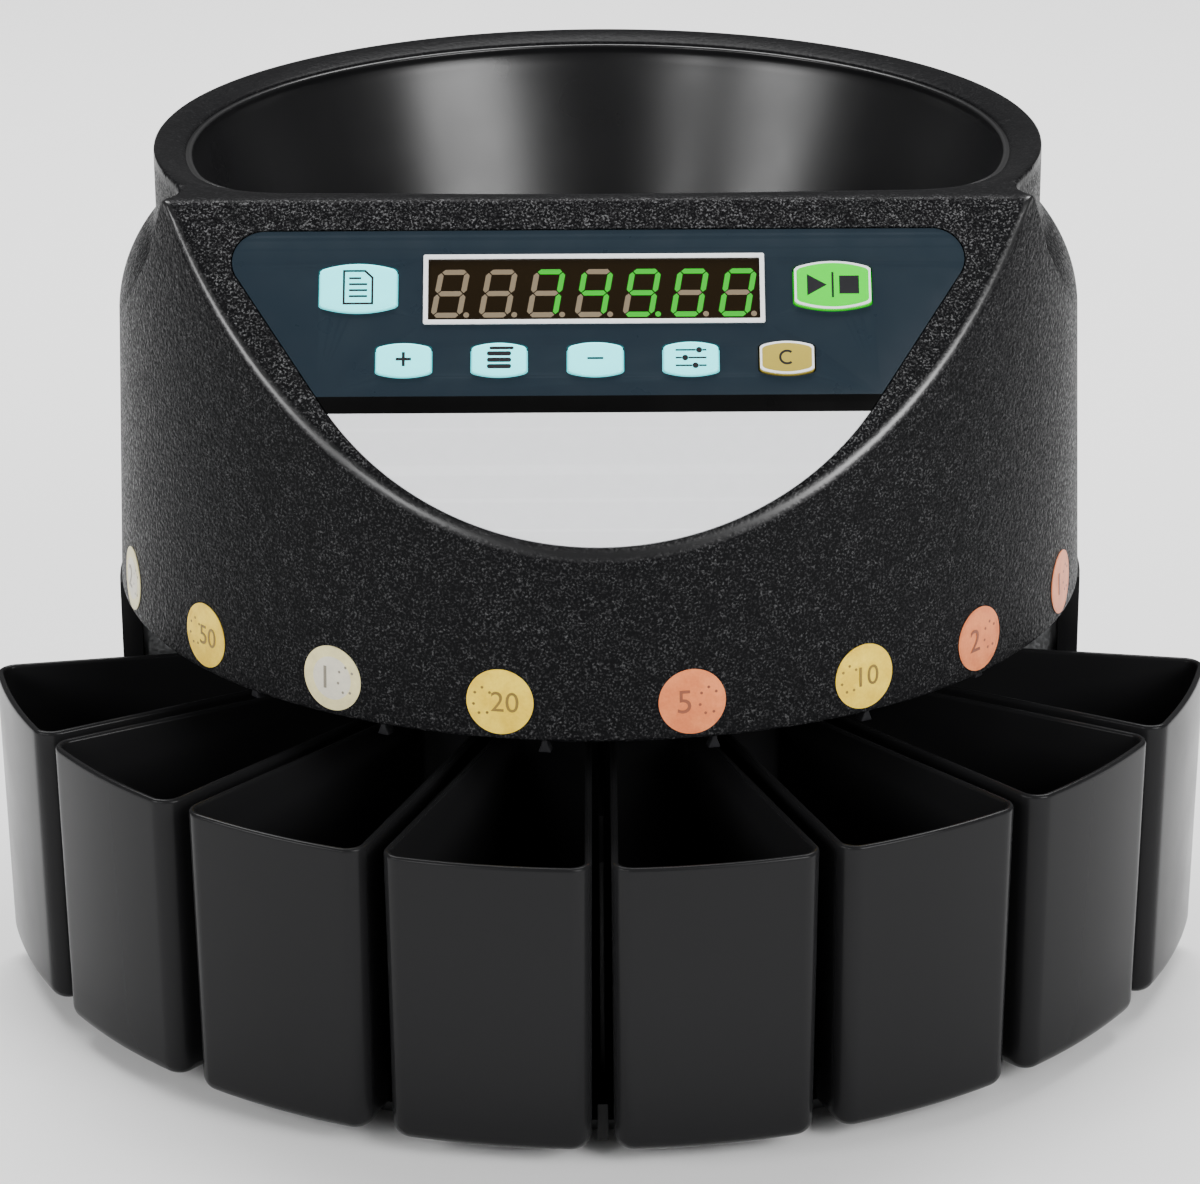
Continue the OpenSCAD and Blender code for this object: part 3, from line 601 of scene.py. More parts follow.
def body_distance(r, z, azimuth, inset=0.0):
    """Signed distance, negative inside, to the upper housing's outer form."""
    mouth = mouth_radius(azimuth)
    forward = r * np.cos(azimuth)
    wall = r - wall_radius(z)
    top = z - lip_height(r, mouth)
    shoulder_centre = wall_radius(SHOULDER_Z) - SHOULDER_R
    shoulder = np.where(
        r > shoulder_centre,
        np.hypot(r - shoulder_centre, z - SHOULDER_Z) - SHOULDER_R,
        z - SHOULDER_Z - SHOULDER_R,
    )
    rounded = np.where(z <= SHOULDER_Z, wall, shoulder)
    ring = round_max(r - RING_R, top, RING_ROUND)
    form = round_min(rounded, ring, RING_FILLET)
    cheek = round_max(wall, top, CHEEK_TOP_ROUND)
    behind = (CHEEK_FORWARD - forward) * math.sin(CHEEK_SLOPE)
    behind = behind + (z - TOP_Z) * math.cos(CHEEK_SLOPE)
    cheek = round_max(cheek, behind, CHEEK_BACK_ROUND)
    # The blends may not grow past the wall and the top, which both forms share
    form = np.maximum(round_min(form, cheek, CHEEK_BLEND), np.maximum(wall, top))
    panel = (forward - PANEL_FORWARD) * math.sin(PANEL_SLOPE)
    panel = panel + (z - TOP_Z) * math.cos(PANEL_SLOPE)
    # The ridge round the panel gets sharper just below the hopper ring
    ridge = 1.7 - 1.1 * smooth_step(z, 237, 243)
    form = round_max(form, panel, ridge)
    form = round_max(form, DRUM_Z - z, FOOT_ROUND) + inset
    return round_max(form, mouth + inset * 0.2 - r, MOUTH_ROUND)


def body_section(azimuths, inset, first, last, wall_rows, lip_rows):
    """Points on the housing's form for each azimuth, from the lower edge to the mouth."""
    # Rays fan out from a point inside the wall; halving finds where each one leaves the form
    centre_r, centre_z = 125.0, 150.0
    longest = 125.0
    mouth = mouth_radius(azimuths)
    start = math.atan2(first[1] - centre_z, first[0] - centre_r)
    end = np.arctan2(last - centre_z, mouth - centre_r)
    share = np.linspace(0, 1, 1500)[None, :]
    angle = start + (end[:, None] - start) * share
    near = np.zeros_like(angle)
    far = np.full_like(angle, longest)
    turn = np.broadcast_to(azimuths[:, None], angle.shape)
    for _ in range(26):  # halvings
        middle = (near + far) / 2
        r = centre_r + middle * np.cos(angle)
        z = centre_z + middle * np.sin(angle)
        outside = body_distance(r, z, turn, inset) > 0
        far = np.where(outside, middle, far)
        near = np.where(outside, near, middle)
    r = centre_r + near * np.cos(angle)
    z = centre_z + near * np.sin(angle)
    edge = np.minimum(RING_R, PANEL_FORWARD / np.maximum(np.cos(azimuths), 0.2))
    loops = []
    for i in range(len(azimuths)):
        length = np.concatenate([[0], np.cumsum(np.hypot(np.diff(r[i]), np.diff(z[i])))])
        lip = (z[i] > TOP_Z - 16) & (r[i] < edge[i] + 2.5)
        turn_over = length[np.argmax(lip)]
        where = np.concatenate([
            np.linspace(0, turn_over, wall_rows, endpoint=False),
            np.linspace(turn_over, length[-1], lip_rows),
        ])
        loops.append(np.stack([np.interp(where, length, r[i]), np.interp(where, length, z[i])], 1))
    return np.array(loops)


def around_axis(sections, azimuths):
    """Turns (radius, height) sections into rows of points round the axis."""
    r, z = sections[..., 0], sections[..., 1]
    a = azimuths[:, None]
    return np.stack([r * np.sin(a), -r * np.cos(a), z], -1).transpose(1, 0, 2)


# From the control panel's plane, x across, y up the slope, z outward, to the shared frame
PANEL_PLACE = (
    Matrix.Translation((0, (AXIS_Y - PANEL_FORWARD) * MM, TOP_Z * MM))
    @ Matrix.Rotation(PANEL_SLOPE, 4, "X") @ Matrix.Scale(MM, 4)
)


def node_extent(name):
    """Lowest and highest x, y, z of a node in the panel's plane, in millimetres."""
    back = PANEL_PLACE.inverted()
    co = np.array([back @ v.co for v in frame["nodes"][name].data.vertices])
    return co.min(0), co.max(0)


def arc_points(centre, radius, start, end, steps):
    angles = np.radians(np.linspace(start, end, steps))
    return [(centre[0] + radius * math.cos(a), centre[1] + radius * math.sin(a)) for a in angles]


OVERLAY_HALF_W = 100.5
OVERLAY_TOP = 9.2
OVERLAY_H = 94.0
OVERLAY_ARC_R = 88.5
OVERLAY_CORNER = 9.0
RECESS = 1.0
FILM_T = 0.8


def overlay_outline(grow=0.0):
    """Straight top, round upper corners, then tangents to one big arc below."""
    corner = OVERLAY_CORNER + grow
    big = OVERLAY_ARC_R + grow
    cx, cy = OVERLAY_HALF_W - OVERLAY_CORNER, -OVERLAY_TOP - OVERLAY_CORNER
    arc_y = OVERLAY_ARC_R - OVERLAY_TOP - OVERLAY_H
    apart = math.hypot(cx, cy - arc_y)
    lean = math.degrees(math.atan2(cy - arc_y, cx))
    # The outer tangent of the two circles leaves both in this direction
    tangent = lean - math.degrees(math.acos((big - corner) / apart))
    points = arc_points((cx, cy), corner, tangent, 90, 28)
    points += arc_points((-cx, cy), corner, 90, 180 - tangent, 28)
    points += arc_points((0, arc_y), big, 180 - tangent, 360 + tangent, 160)
    return points


KEY_SPOTS = {
    "report_key": ("key_cyan", True),
    "start_stop_key": ("key_green", True),
    "plus_key": ("key_cyan", False),
    "batch_key": ("key_cyan", False),
    "minus_key": ("key_cyan", False),
    "set_key": ("key_cyan", False),
    "clear_key": ("key_tan", False),
}
BIG_KEY = (21.1, 14.5)
SMALL_KEY = (14.9, 9.9)


def barrel_outline(size, grow=0.0):
    """Straight sides, bulging upper and lower edges, slightly rounded corners."""
    corner = 0.9
    w, h = size[0] / 2 + grow, size[1] / 2 + grow
    bulge = size[1] * 0.13
    radius = (w * w + bulge * bulge) / (2 * bulge)
    xs = np.linspace(w, -w, 31)
    top = [(x, h - radius + math.sqrt(radius**2 - x * x)) for x in xs]
    side_h = top[0][1]
    points = []
    for x, y in top:
        pull = corner * max(0, 1 - (w - abs(x)) / corner) ** 2 * 0.5
        points.append((x, y - pull))
    points += [(-w, side_h * 0.3), (-w, -side_h * 0.3)]
    points += [(-x, -y) for x, y in points[:31]]
    points += [(w, -side_h * 0.3), (w, side_h * 0.3)]
    return points


def key_place(name):
    """Centre of a key's cap in the panel's plane."""
    low, high = node_extent(name)
    return tuple((low + high)[:2] / 2)


KEY_AT = {name: key_place(name) for name in KEY_SPOTS}


def rectangle(low, high, corner=0.0, steps=6):
    """A rectangle's outline, its corners rounded."""
    if corner == 0:
        return [(low[0], low[1]), (high[0], low[1]), (high[0], high[1]), (low[0], high[1])]
    points = []
    for x, y, start in (
        (high[0] - corner, high[1] - corner, 0), (low[0] + corner, high[1] - corner, 90),
        (low[0] + corner, low[1] + corner, 180), (high[0] - corner, low[1] + corner, 270),
    ):
        points += arc_points((x, y), corner, start, start + 90, steps)
    return points


def shifted(points, dx, dy):
    return [(x + dx, y + dy) for x, y in points]


def cut(obj, cutters):
    """Cuts closed solids out of a mesh object."""
    for cutter in cutters:
        modifier = obj.modifiers.new("cut", "BOOLEAN")
        modifier.operation = "DIFFERENCE"
        modifier.solver = "EXACT"
        modifier.object = cutter
    mesh = mesh_result(obj)
    for cutter in cutters:
        bpy.data.objects.remove(cutter)
    bpy.data.objects.remove(obj)
    return mesh


def prism(loops, z0, z1):
    """A temporary solid standing on the panel's plane, for cutting."""
    parts = []
    for loop in loops:
        points = np.array(loop)
        low = np.column_stack([points, np.full(len(points), z0)])
        high = np.column_stack([points, np.full(len(points), z1)])
        parts.append(loft([low, high]))
    mesh = mesh_from("prism", merge_parts(parts))
    mesh.transform(PANEL_PLACE)
    face_outwards(mesh)
    return linked_object("cutter", mesh)


WINDOW_LOW, WINDOW_HIGH = node_extent("display_bezel")


def panel_holes():
    """Outlines of the seven key holes and of the display's window."""
    keys = [
        shifted(barrel_outline(BIG_KEY if big else SMALL_KEY, 0.35), *KEY_AT[name])
        for name, (_, big) in KEY_SPOTS.items()
    ]
    return keys + [rectangle(WINDOW_LOW[:2] + 1.2, WINDOW_HIGH[:2] - 1.2)]


def build_drum_cover():
    columns = 760
    azimuths = np.linspace(-np.pi, np.pi, columns, endpoint=False)
    wall_rows = 210
    lip_rows = 46
    edge = (DRUM_R - 2.0, DRUM_Z + 0.001)
    inner_edge = (DRUM_R - 6.0, DRUM_Z + 3.0)
    outer = body_section(azimuths, 0.0, edge, TOP_Z - 8, wall_rows, lip_rows)
    inner = body_section(azimuths, SHELL, inner_edge, TOP_Z - 8, 60, 12)
    # The inner skin starts at the lower edge, inside the outer one
    foot = inner[:, :1].copy()
    foot[..., 1] = outer[:, :1, 1]
    inner = np.concatenate([foot, inner], 1)
    outer_rows = around_axis(outer, azimuths)
    inner_rows = around_axis(inner, azimuths)
    verts, faces = loft(np.concatenate([outer_rows, inner_rows[::-1]]), closed=True)
    mesh = to_frame(mesh_from("drum_cover_shell", (verts, faces)))
    face_outwards(mesh)
    shell = linked_object("drum_cover_shell", mesh)
    pocket = prism([overlay_outline(0.35)], -RECESS, 6)
    holes = prism(panel_holes(), -6, 0.5)
    mesh = cut(shell, [pocket, holes])
    mesh.name = "drum_cover_moulding"
    return finish_piece(
        "drum_cover_moulding", mesh, "housing", MATERIALS["textured_black_plastic"],
        ["drum_cover"], 32,
    )


build_drum_cover()


def build_funnel():
    """A drafted funnel with a beaded rim and a flange under the hopper ring."""
    count = 480
    azimuths = np.linspace(-np.pi, np.pi, count, endpoint=False)
    mouth = mouth_radius(azimuths)
    taper = 0.68
    z0, z1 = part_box("hopper_funnel")[0].z / MM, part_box("hopper_funnel")[1].z / MM - 0.3
    wall = 2.4
    levels = np.linspace(0, 1, 40)

    def loop(share, offset, z):
        r = mouth * (taper + (1 - taper) * share) + offset
        return np.stack([r * np.sin(azimuths), -r * np.cos(azimuths), np.full(count, z)], 1)

    rows = [loop(0, wall, z0 + 0.6), loop(0, wall, z0 + 1.5)]
    rows += [loop(s, wall, z0 + (z1 - z0 - 5) * s) for s in levels[2:-1]]
    rows += [loop(1, wall, z1 - 4.5), loop(1, 6.5, z1 - 1.6), loop(1, 7.2, z1 - 1.3)]
    rows += [loop(1, 7.2, z1 - 0.3), loop(1, 6.8, z1), loop(1, -0.3, z1)]
    for a in np.radians(np.linspace(60, 180, 9)):
        rows.append(loop(1, -1.1 + 0.8 * math.cos(a), z1 - 0.5 + 0.8 * math.sin(a)))
    rows += [loop(1, -1.8, z1 - 1.4), loop(0.99, -1.4, z1 - 2.6)]
    rows += [loop(s, -1.2 * s**8, z0 + (z1 - z0) * s) for s in levels[1:-2][::-1]]
    rows += [loop(0, 0.0, z0 + 0.8), loop(0, 0.5, z0 + 0.2)]
    rows += [loop(0, 1.2, z0), loop(0, 1.9, z0 + 0.1)]
    verts, faces = loft(rows, closed=True)
    add_piece(
        "hopper_funnel_moulding", verts, faces, "housing", MATERIALS["funnel_black_plastic"],
        ["hopper_funnel"], 60,
    )


build_funnel()


# ---- coin cups ----

CUP_COUNT = 8
CUP_PITCH = math.radians(20)
CUP_OUTER_R = 182.5
CUP_INNER_R = 82.0
CUP_GAP = 5.0
CUP_CORNER = 6.0
CUP_WALL = 2.0
CUP_DRAFT = 0.976
CUP_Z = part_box("coin_cup_4")[0].z / MM
CUP_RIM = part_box("coin_cup_4")[1].z / MM


def spread(start, end, steps):
    return [start + (end - start) * i / steps for i in range(steps)]


def cup_loop(inset):
    """A cup's outline pointing along +X: bowed front, two long sides, short inner end."""
    half = CUP_PITCH / 2
    side = CUP_GAP / 2 + inset
    outer = CUP_OUTER_R - inset
    corner = max(CUP_CORNER - inset, 0.6)
    inner = CUP_INNER_R + inset
    inner_half = inner * math.tan(half) - side / math.cos(half)
    turn = half - math.asin((side + corner) / (outer - corner))
    c = np.array([math.cos(turn), math.sin(turn)]) * (outer - corner)
    small = max(3.5 - inset, 0.5)
    # The inner end's corner circle touches the end and the side
    e = np.array([inner + small, inner_half + (small * math.tan(half)) - small / math.cos(half)])
    points = []
    points += [(e[0] + small * math.cos(a), e[1] + small * math.sin(a))
               for a in spread(math.pi, math.pi / 2 + half, 8)]
    start = e + small * np.array([-math.sin(half), math.cos(half)])
    end = c + corner * np.array([-math.sin(half), math.cos(half)])
    points += [tuple(start + (end - start) * t) for t in spread(0, 1, 24)]
    points += [(c[0] + corner * math.cos(a), c[1] + corner * math.sin(a))
               for a in spread(math.pi / 2 + half, turn, 14)]
    points += [(outer * math.cos(a), outer * math.sin(a)) for a in spread(turn, 0, 14)]
    upper = np.array(points)
    lower = upper[1:][::-1] * [1, -1]
    return np.vstack([upper, [[outer, 0]], lower, [[inner, 0]]])


def build_cup(number):
    height = CUP_RIM - CUP_Z
    middle = (CUP_OUTER_R + CUP_INNER_R) / 2
    foot_round = 4.5
    rim_round = CUP_WALL / 2
    inner_round = 5.0
    # (inset, height above the foot, shrink towards the centre)
    profile = [(foot_round, 0.25, 0.02), (foot_round, 0.25, 0.5), (foot_round, 0.25, 0.93)]
    profile += [(foot_round, 0.0, 0.955)]
    profile += [
        (foot_round * (1 - math.sin(a)), foot_round * (1 - math.cos(a)), 1)
        for a in np.radians(np.linspace(0, 90, 11))
    ]
    profile += [(0, h, 1) for h in np.linspace(foot_round + 6, height - rim_round - 0.5, 12)]
    profile += [
        (rim_round * (1 - math.cos(a)), height - rim_round + rim_round * math.sin(a), 1)
        for a in np.radians(np.linspace(0, 180, 9))
    ]
    profile += [(CUP_WALL, h, 1) for h in np.linspace(height - 6, inner_round + CUP_WALL + 2, 10)]
    profile += [
        (CUP_WALL + inner_round * (1 - math.cos(a)), CUP_WALL + inner_round * (1 - math.sin(a)), 1)
        for a in np.radians(np.linspace(0, 90, 8))
    ]
    profile += [(CUP_WALL + inner_round, CUP_WALL, k) for k in (0.93, 0.5, 0.02)]
    rows = []
    for inset, h, shrink in profile:
        draft = CUP_DRAFT + (1 - CUP_DRAFT) * h / height
        outline = cup_loop(inset)
        centre = np.array([outline[:, 0].mean(), 0])
        outline = centre + (outline - centre) * shrink
        outline = (outline - [middle, 0]) * draft + [middle, 0]
        rows.append(np.column_stack([outline, np.full(len(outline), CUP_Z + h)]))
    verts, faces = loft(rows)
    turn = (number - (CUP_COUNT + 1) / 2) * CUP_PITCH - math.pi / 2
    c, s = math.cos(turn), math.sin(turn)
    verts = verts @ np.array([[c, s, 0], [-s, c, 0], [0, 0, 1]])
    body = f"coin_cup_{number}"
    add_piece(
        f"cup_{number}_moulding", verts, faces, body, MATERIALS["cup_black_plastic"], [body], 50,
    )


for number in range(1, CUP_COUNT + 1):
    build_cup(number)


# ---- control panel ----

FILM_Z = -RECESS + FILM_T
STRIP_LOW, STRIP_HIGH = node_extent("overlay_strip")


def clip_outline(outline, low, high):
    """The part of a convex outline between two heights."""
    def side(points, level, keep_above):
        kept = []
        for (x0, y0), (x1, y1) in zip(points, points[1:] + points[:1]):
            in0 = y0 >= level if keep_above else y0 <= level
            in1 = y1 >= level if keep_above else y1 <= level
            if in0:
                kept.append((x0, y0))
            if in0 != in1:
                t = (level - y0) / (y1 - y0)
                kept.append((x0 + (x1 - x0) * t, level))
        return kept
    return side(side(outline, low, True), high, False)


def panel_piece(name, mesh, material, replaces=(), body="housing", sharp_angle=15):
    mesh.transform(PANEL_PLACE)
    return finish_piece(name, mesh, body, MATERIALS[material], replaces, sharp_angle=sharp_angle)


def build_overlay():
    outline = overlay_outline()
    field = [clip_outline(outline, STRIP_HIGH[1], 0)] + panel_holes()
    strip = clip_outline(outline, STRIP_LOW[1], STRIP_HIGH[1])
    plate = clip_outline(outline, -200, STRIP_LOW[1])
    for name, loops, upper, edge_round, material, node in (
        ("overlay_film", field, FILM_Z, 0.08, "overlay_blue_grey", "control_overlay"),
        ("strip_film", [strip], FILM_Z + 0.03, 0.05, "strip_black", "overlay_strip"),
        ("plate_film", [plate], FILM_Z, 0.12, "label_white", "label_plate"),
    ):
        mesh = plate_mesh(name, loops, -RECESS, upper, edge_round)
        panel_piece(name, mesh, material, [node])


def build_display():
    low, high = WINDOW_LOW[:2], WINDOW_HIGH[:2]
    frame_loops = [rectangle(low, high, 0.5), rectangle(low + 1.3, high - 1.3, 0.3)]
    mesh = plate_mesh("bezel_frame", frame_loops, FILM_Z - 0.05, FILM_Z + 0.45, 0.12)
    panel_piece("bezel_frame", mesh, "bezel_white", ["display_bezel"])
    pane = rectangle(low + 1.25, high - 1.25)
    mesh = plate_mesh("window_pane", [pane], FILM_Z - 1.4, FILM_Z - 0.1, 0.05)
    panel_piece("window_pane", mesh, "window_brown", ["display_window"])


DIGIT_H = 14.4
DIGIT_W = 8.6
DIGIT_PITCH = 13.1
DIGIT_SLANT = 0.17
DIGIT_DROP = -1.2
SEGMENT_T = 1.5
DOT_R = 0.8
SHOWN = ["", "", "7", "4", "9", "0", "0"]
DOT_AFTER = 4
SEGMENTS = {"0": "abcdef", "4": "bcfg", "7": "abc", "9": "abcdfg", "": ""}


def segment_outline(letter):
    """One bar of a seven-segment digit, its ends pointed and its corners eased."""
    w = DIGIT_W - SEGMENT_T
    h = (DIGIT_H - SEGMENT_T) / 2
    x0, y0, upright = {
        "a": (0, h, 0), "b": (w / 2, h / 2, 1), "c": (w / 2, -h / 2, 1), "d": (0, -h, 0),
        "e": (-w / 2, -h / 2, 1), "f": (-w / 2, h / 2, 1), "g": (0, 0, 0),
    }[letter]
    reach = (h if upright else w) / 2 - 0.22
    t = SEGMENT_T / 2
    outline = [(-reach, 0), (t - reach, t), (reach - t, t), (reach, 0)]
    outline += [(reach - t, -t), (t - reach, -t)]
    points = []
    for px, py in outline:
        x = x0 + (py if upright else px)
        y = y0 + (-px if upright else py)
        points.append((x + DIGIT_SLANT * y, y))
    return points


def build_digits():
    middle = (WINDOW_LOW + WINDOW_HIGH) / 2 + [0, DIGIT_DROP, 0]
    lit, unlit = [], []
    for i, character in enumerate(SHOWN):
        x = middle[0] + (i - (len(SHOWN) - 1) / 2) * DIGIT_PITCH
        for letter in "abcdefg":
            place = lit if letter in SEGMENTS[character] else unlit
            place.append(shifted(segment_outline(letter), x, middle[1]))
        dot_x = DIGIT_W / 2 + 1.3 - DIGIT_SLANT * DIGIT_H / 2
        dot = arc_points((dot_x, DOT_R - DIGIT_H / 2), DOT_R, 0, 337, 16)
        (lit if i == DOT_AFTER else unlit).append(shifted(dot, x, middle[1]))
    for name, loops, material, node in (
        ("segments_lit", lit, "segment_green", "digits_lit"),
        ("segments_unlit", unlit, "segment_unlit", "digits_unlit"),
    ):
        mesh = plate_mesh(name, loops, FILM_Z - 0.12, FILM_Z - 0.04, 0.02, 1)
        panel_piece(name, mesh, material, [node])


build_overlay()
build_display()
build_digits()


def bar(x0, y0, x1, y1):
    return [(x0, y0), (x1, y0), (x1, y1), (x0, y1)]


def pictogram(name):
    """Closed outlines of the sign on a key, in millimetres round its centre."""
    if name == "report_key":
        # A sheet of paper with lines on it
        page = [(-4.2, -5.2), (4.2, -5.2), (4.2, 3.0), (2.0, 5.2), (-4.2, 5.2)]
        inside = [(-3.6, -4.6), (3.6, -4.6), (3.6, 2.7), (1.7, 4.6), (-3.6, 4.6)]
        lines = [bar(-2.5, y, 2.5, y + 0.6) for y in (-3.0, -1.2, 0.6)]
        return [page, inside] + lines + [bar(-2.5, 2.4, 0.8, 3.0)]
    if name == "start_stop_key":
        # A triangle for start, a square for stop, and a bar between them
        return [
            [(-7.0, -3.2), (-1.6, 0), (-7.0, 3.2)],
            bar(-0.3, -3.8, 0.3, 3.8), bar(1.8, -2.7, 7.2, 2.7),
        ]
    if name == "plus_key":
        a, t = 2.1, 0.42
        return [[(-a, -t), (-t, -t), (-t, -a), (t, -a), (t, -t), (a, -t), (a, t), (t, t), (t, a),
                 (-t, a), (-t, t), (-a, t)]]
    if name == "minus_key":
        return [bar(-2.2, -0.3, 2.2, 0.3)]
    if name == "batch_key":
        # A pile of coins
        return [rectangle((-3.3, y), (3.3, y + 1.3), 0.55, 4) for y in (-2.9, -1.0, 0.9)] + [
            rectangle((-2.6, 2.75), (4.0, 3.6), 0.4, 4)
        ]
    if name == "set_key":
        # Three sliders
        loops = []
        for y, x in ((-2.3, 1.2), (0, -1.6), (2.3, 2.2)):
            loops += [bar(-4.2, y - 0.25, x - 0.9, y + 0.25)]
            loops += [bar(x + 0.9, y - 0.25, 4.2, y + 0.25)]
            loops += [arc_points((x, y), 0.85, 0, 340, 18)]
        return loops
    # An open ring for clearing the count
    outer = arc_points((0, 0), 2.2, 50, 310, 30)
    return [outer + arc_points((0, 0), 1.55, 310, 50, 30)]


def build_key(name, material, big):
    size = BIG_KEY if big else SMALL_KEY
    x, y = KEY_AT[name]
    low, high = node_extent(name)
    cap_top = high[2]
    # The cap: a barrel outline lofted up with a soft crown
    loops = []
    for inset, z in (
        (0.0, -3.0), (0.0, cap_top - 0.75), (0.05, cap_top - 0.5), (0.2, cap_top - 0.26),
        (0.45, cap_top - 0.12), (0.8, cap_top - 0.06), (2.2, cap_top - 0.03),
        (3.8, cap_top - 0.02),
    ):
        points = np.array(barrel_outline(size)) * [
            1 - inset / (size[0] / 2), 1 - inset / (size[1] / 2)
        ]
        loops.append(np.column_stack([points, np.full(len(points), z)]))
    cap = mesh_from(name, loft(loops))
    flange = plate_mesh(name, [barrel_outline(size, 1.6)], -4.4, -3.0, 0.15)
    stem = mesh_from(name, rounded_box((-2, -2, low[2]), (2, 2, -4.3), 0.4))
    mesh = join_meshes(name + "_cap", [cap, flange, stem])
    mesh.transform(Matrix.Translation((x, y, 0)))
    panel_piece(name + "_cap", mesh, material, [name], body=name, sharp_angle=35)
    sign = plate_mesh(name + "_sign", pictogram(name), cap_top - 0.08, cap_top - 0.005, 0.0)
    sign.transform(Matrix.Translation((x, y, 0)))
    panel_piece(name + "_sign", sign, "component_black", body=name)
    if material != "key_cyan":
        loops = [barrel_outline(size, -0.1), barrel_outline(size, -0.7)]
        border = plate_mesh(name + "_border", loops, cap_top - 0.6, cap_top - 0.06, 0.05)
        border.transform(Matrix.Translation((x, y, 0)))
        panel_piece(name + "_border", border, "bezel_white", body=name)


for name, (material, big) in KEY_SPOTS.items():
    build_key(name, material, big)


# ---- round labels ----

LABEL_D = 18.6
LABEL_Z = 123.0
LABEL_AZ = [-72, -51, -31, -11, 10, 30.4, 48, 69]
LABEL_TEXT = ["2", "50", "1", "20", "5", "10", "2", "1"]
LABEL_KIND = ["silver", "gold", "silver", "gold", "copper", "gold", "copper", "copper"]
LABEL_NODE = {"gold": "labels_gold", "copper": "labels_copper", "silver": "labels_bimetal"}


def wrap_on_wall(mesh, azimuth, lift):
    """Lays a flat mesh, x across and y up, on the drafted wall at an azimuth."""
    co = mesh_points(mesh)
    z = LABEL_Z + co[:, 1]
    r = wall_radius(z) + lift + co[:, 2]
    a = math.radians(azimuth) + co[:, 0] / DRUM_R
    set_points(mesh, np.stack([r * np.sin(a), -r * np.cos(a), z], 1))
    return to_frame(mesh)


def disc_part(r0, r1, z, thick, rings=5):
    """A flat ring or disc with a fine mesh, so that it can be bent."""
    count = 72
    angles = np.linspace(0, 2 * np.pi, count, endpoint=False)
    radii = np.linspace(max(r0, 0.05), r1, rings)
    top = [(r, z + thick) for r in radii]
    bottom = [(r, z) for r in radii[::-1]]
    rows = [
        np.stack([r * np.cos(angles), r * np.sin(angles), np.full(count, h)], 1)
        for r, h in top + bottom
    ]
    return loft(rows, closed=True)


def build_labels():
    bodies = {"gold": [], "copper": [], "silver": []}
    marks = {"gold": [], "copper": [], "silver": []}
    cores = []
    for azimuth, text, kind in zip(LABEL_AZ, LABEL_TEXT, LABEL_KIND):
        one_digit = len(text) == 1
        label = mesh_from("label", disc_part(0, LABEL_D / 2, 0, 0.2))
        bodies[kind].append(wrap_on_wall(label, azimuth, 0.02))
        rim = mesh_from("rim", disc_part(LABEL_D / 2 - 1.0, LABEL_D / 2 - 0.55, 0.2, 0.04, 2))
        bodies[kind].append(wrap_on_wall(rim, azimuth, 0.02))
        number = glyph_mesh("number", text, 9.5 if one_digit else 8.2, 0.06)
        number.transform(Matrix.Translation((-2.2 if one_digit else 1.4, 0, 0.24)))
        marks[kind].append(wrap_on_wall(number, azimuth, 0.06))
        # A curved row of small dots beside the number
        row_x = 4.6 if one_digit else -4.8
        row = []
        for turn in np.radians(2 * (20 + 26 * np.arange(6))):
            dot = arc_points((0, 0), 0.42, 0, 330, 10)
            row.append(shifted(dot, row_x + 2.6 * math.cos(turn), 4.8 * math.sin(turn) * 0.8))
        marks[kind].append(wrap_on_wall(plate_mesh("dots", row, 0.2, 0.24), azimuth, 0.02))
        if kind == "silver":
            core = mesh_from("core", disc_part(0, 6.2, 0.2, 0.03))
            cores.append(wrap_on_wall(core, azimuth, 0.02))
    core_foil = INKS["label_silver_core_ink"]
    finish_piece("labels_silver_core", join_meshes("cores", cores), "housing", core_foil)
    for kind in bodies:
        mesh = join_meshes("labels_" + kind, bodies[kind])
        foil_of_kind = MATERIALS["label_" + kind]
        finish_piece(f"labels_{kind}_foil", mesh, "housing", foil_of_kind, [LABEL_NODE[kind]])
        mesh = join_meshes("print_" + kind, marks[kind])
        finish_piece(f"labels_{kind}_print", mesh, "housing", INKS[f"label_{kind}_ink"])


INKS = {
    name: foil(name, color, second)
    for name, color, second in (
        ("label_gold_ink", (0.13, 0.08, 0.01), (0.22, 0.14, 0.02)),
        ("label_copper_ink", (0.15, 0.04, 0.02), (0.24, 0.07, 0.03)),
        ("label_silver_ink", (0.14, 0.12, 0.09), (0.22, 0.20, 0.15)),
        ("label_silver_core_ink", (0.66, 0.62, 0.50), (0.52, 0.49, 0.40)),
    )
}
build_labels()


# ---- lower parts and insides ----

# CAD nodes that show with softened edges: width in mm; each takes the material of its slot
SOFTENED = {
    "base_tray": 0.6,
    "cup_dividers": 0.25,
    "lower_housing": 0.5,
    "side_brackets": 0.25,
    "exit_chutes": 0.3,
    "exit_sensors": 0.4,
    "coin_disc": 0.3,
    "disc_knob": 0.5,
    "disc_pulley": 0.3,
    "motor_pulley": 0.3,
    "motor_bracket": 0.3,
    "bearing_housing": 0.4,
    "transformer": 0.5,
    "board_parts": 0.3,
    "power_inlet": 0.4,
    "switch_frame": 0.4,
    "power_rocker": 0.3,
    "printer_port": 0.25,
    "drive_motor": 0.6,
    "key_switches": 0.3,
    "led_module": 0.4,
    "sorting_rail": 0.3,
    "rail_cover": 0.3,
    "deck_plate": 0.2,
    "rubber_feet": 0.3,
}
SLOT_OF = {part["node"]: part["material_slot"] for part in frame["record"]["subparts"]}
BODY_OF = {
    node: body
    for body, members in frame["record"]["behaviour"]["bodies"].items()
    for node in members
}

for node, width in SOFTENED.items():
    softened(node, BODY_OF[node], MATERIALS[SLOT_OF[node]], width)

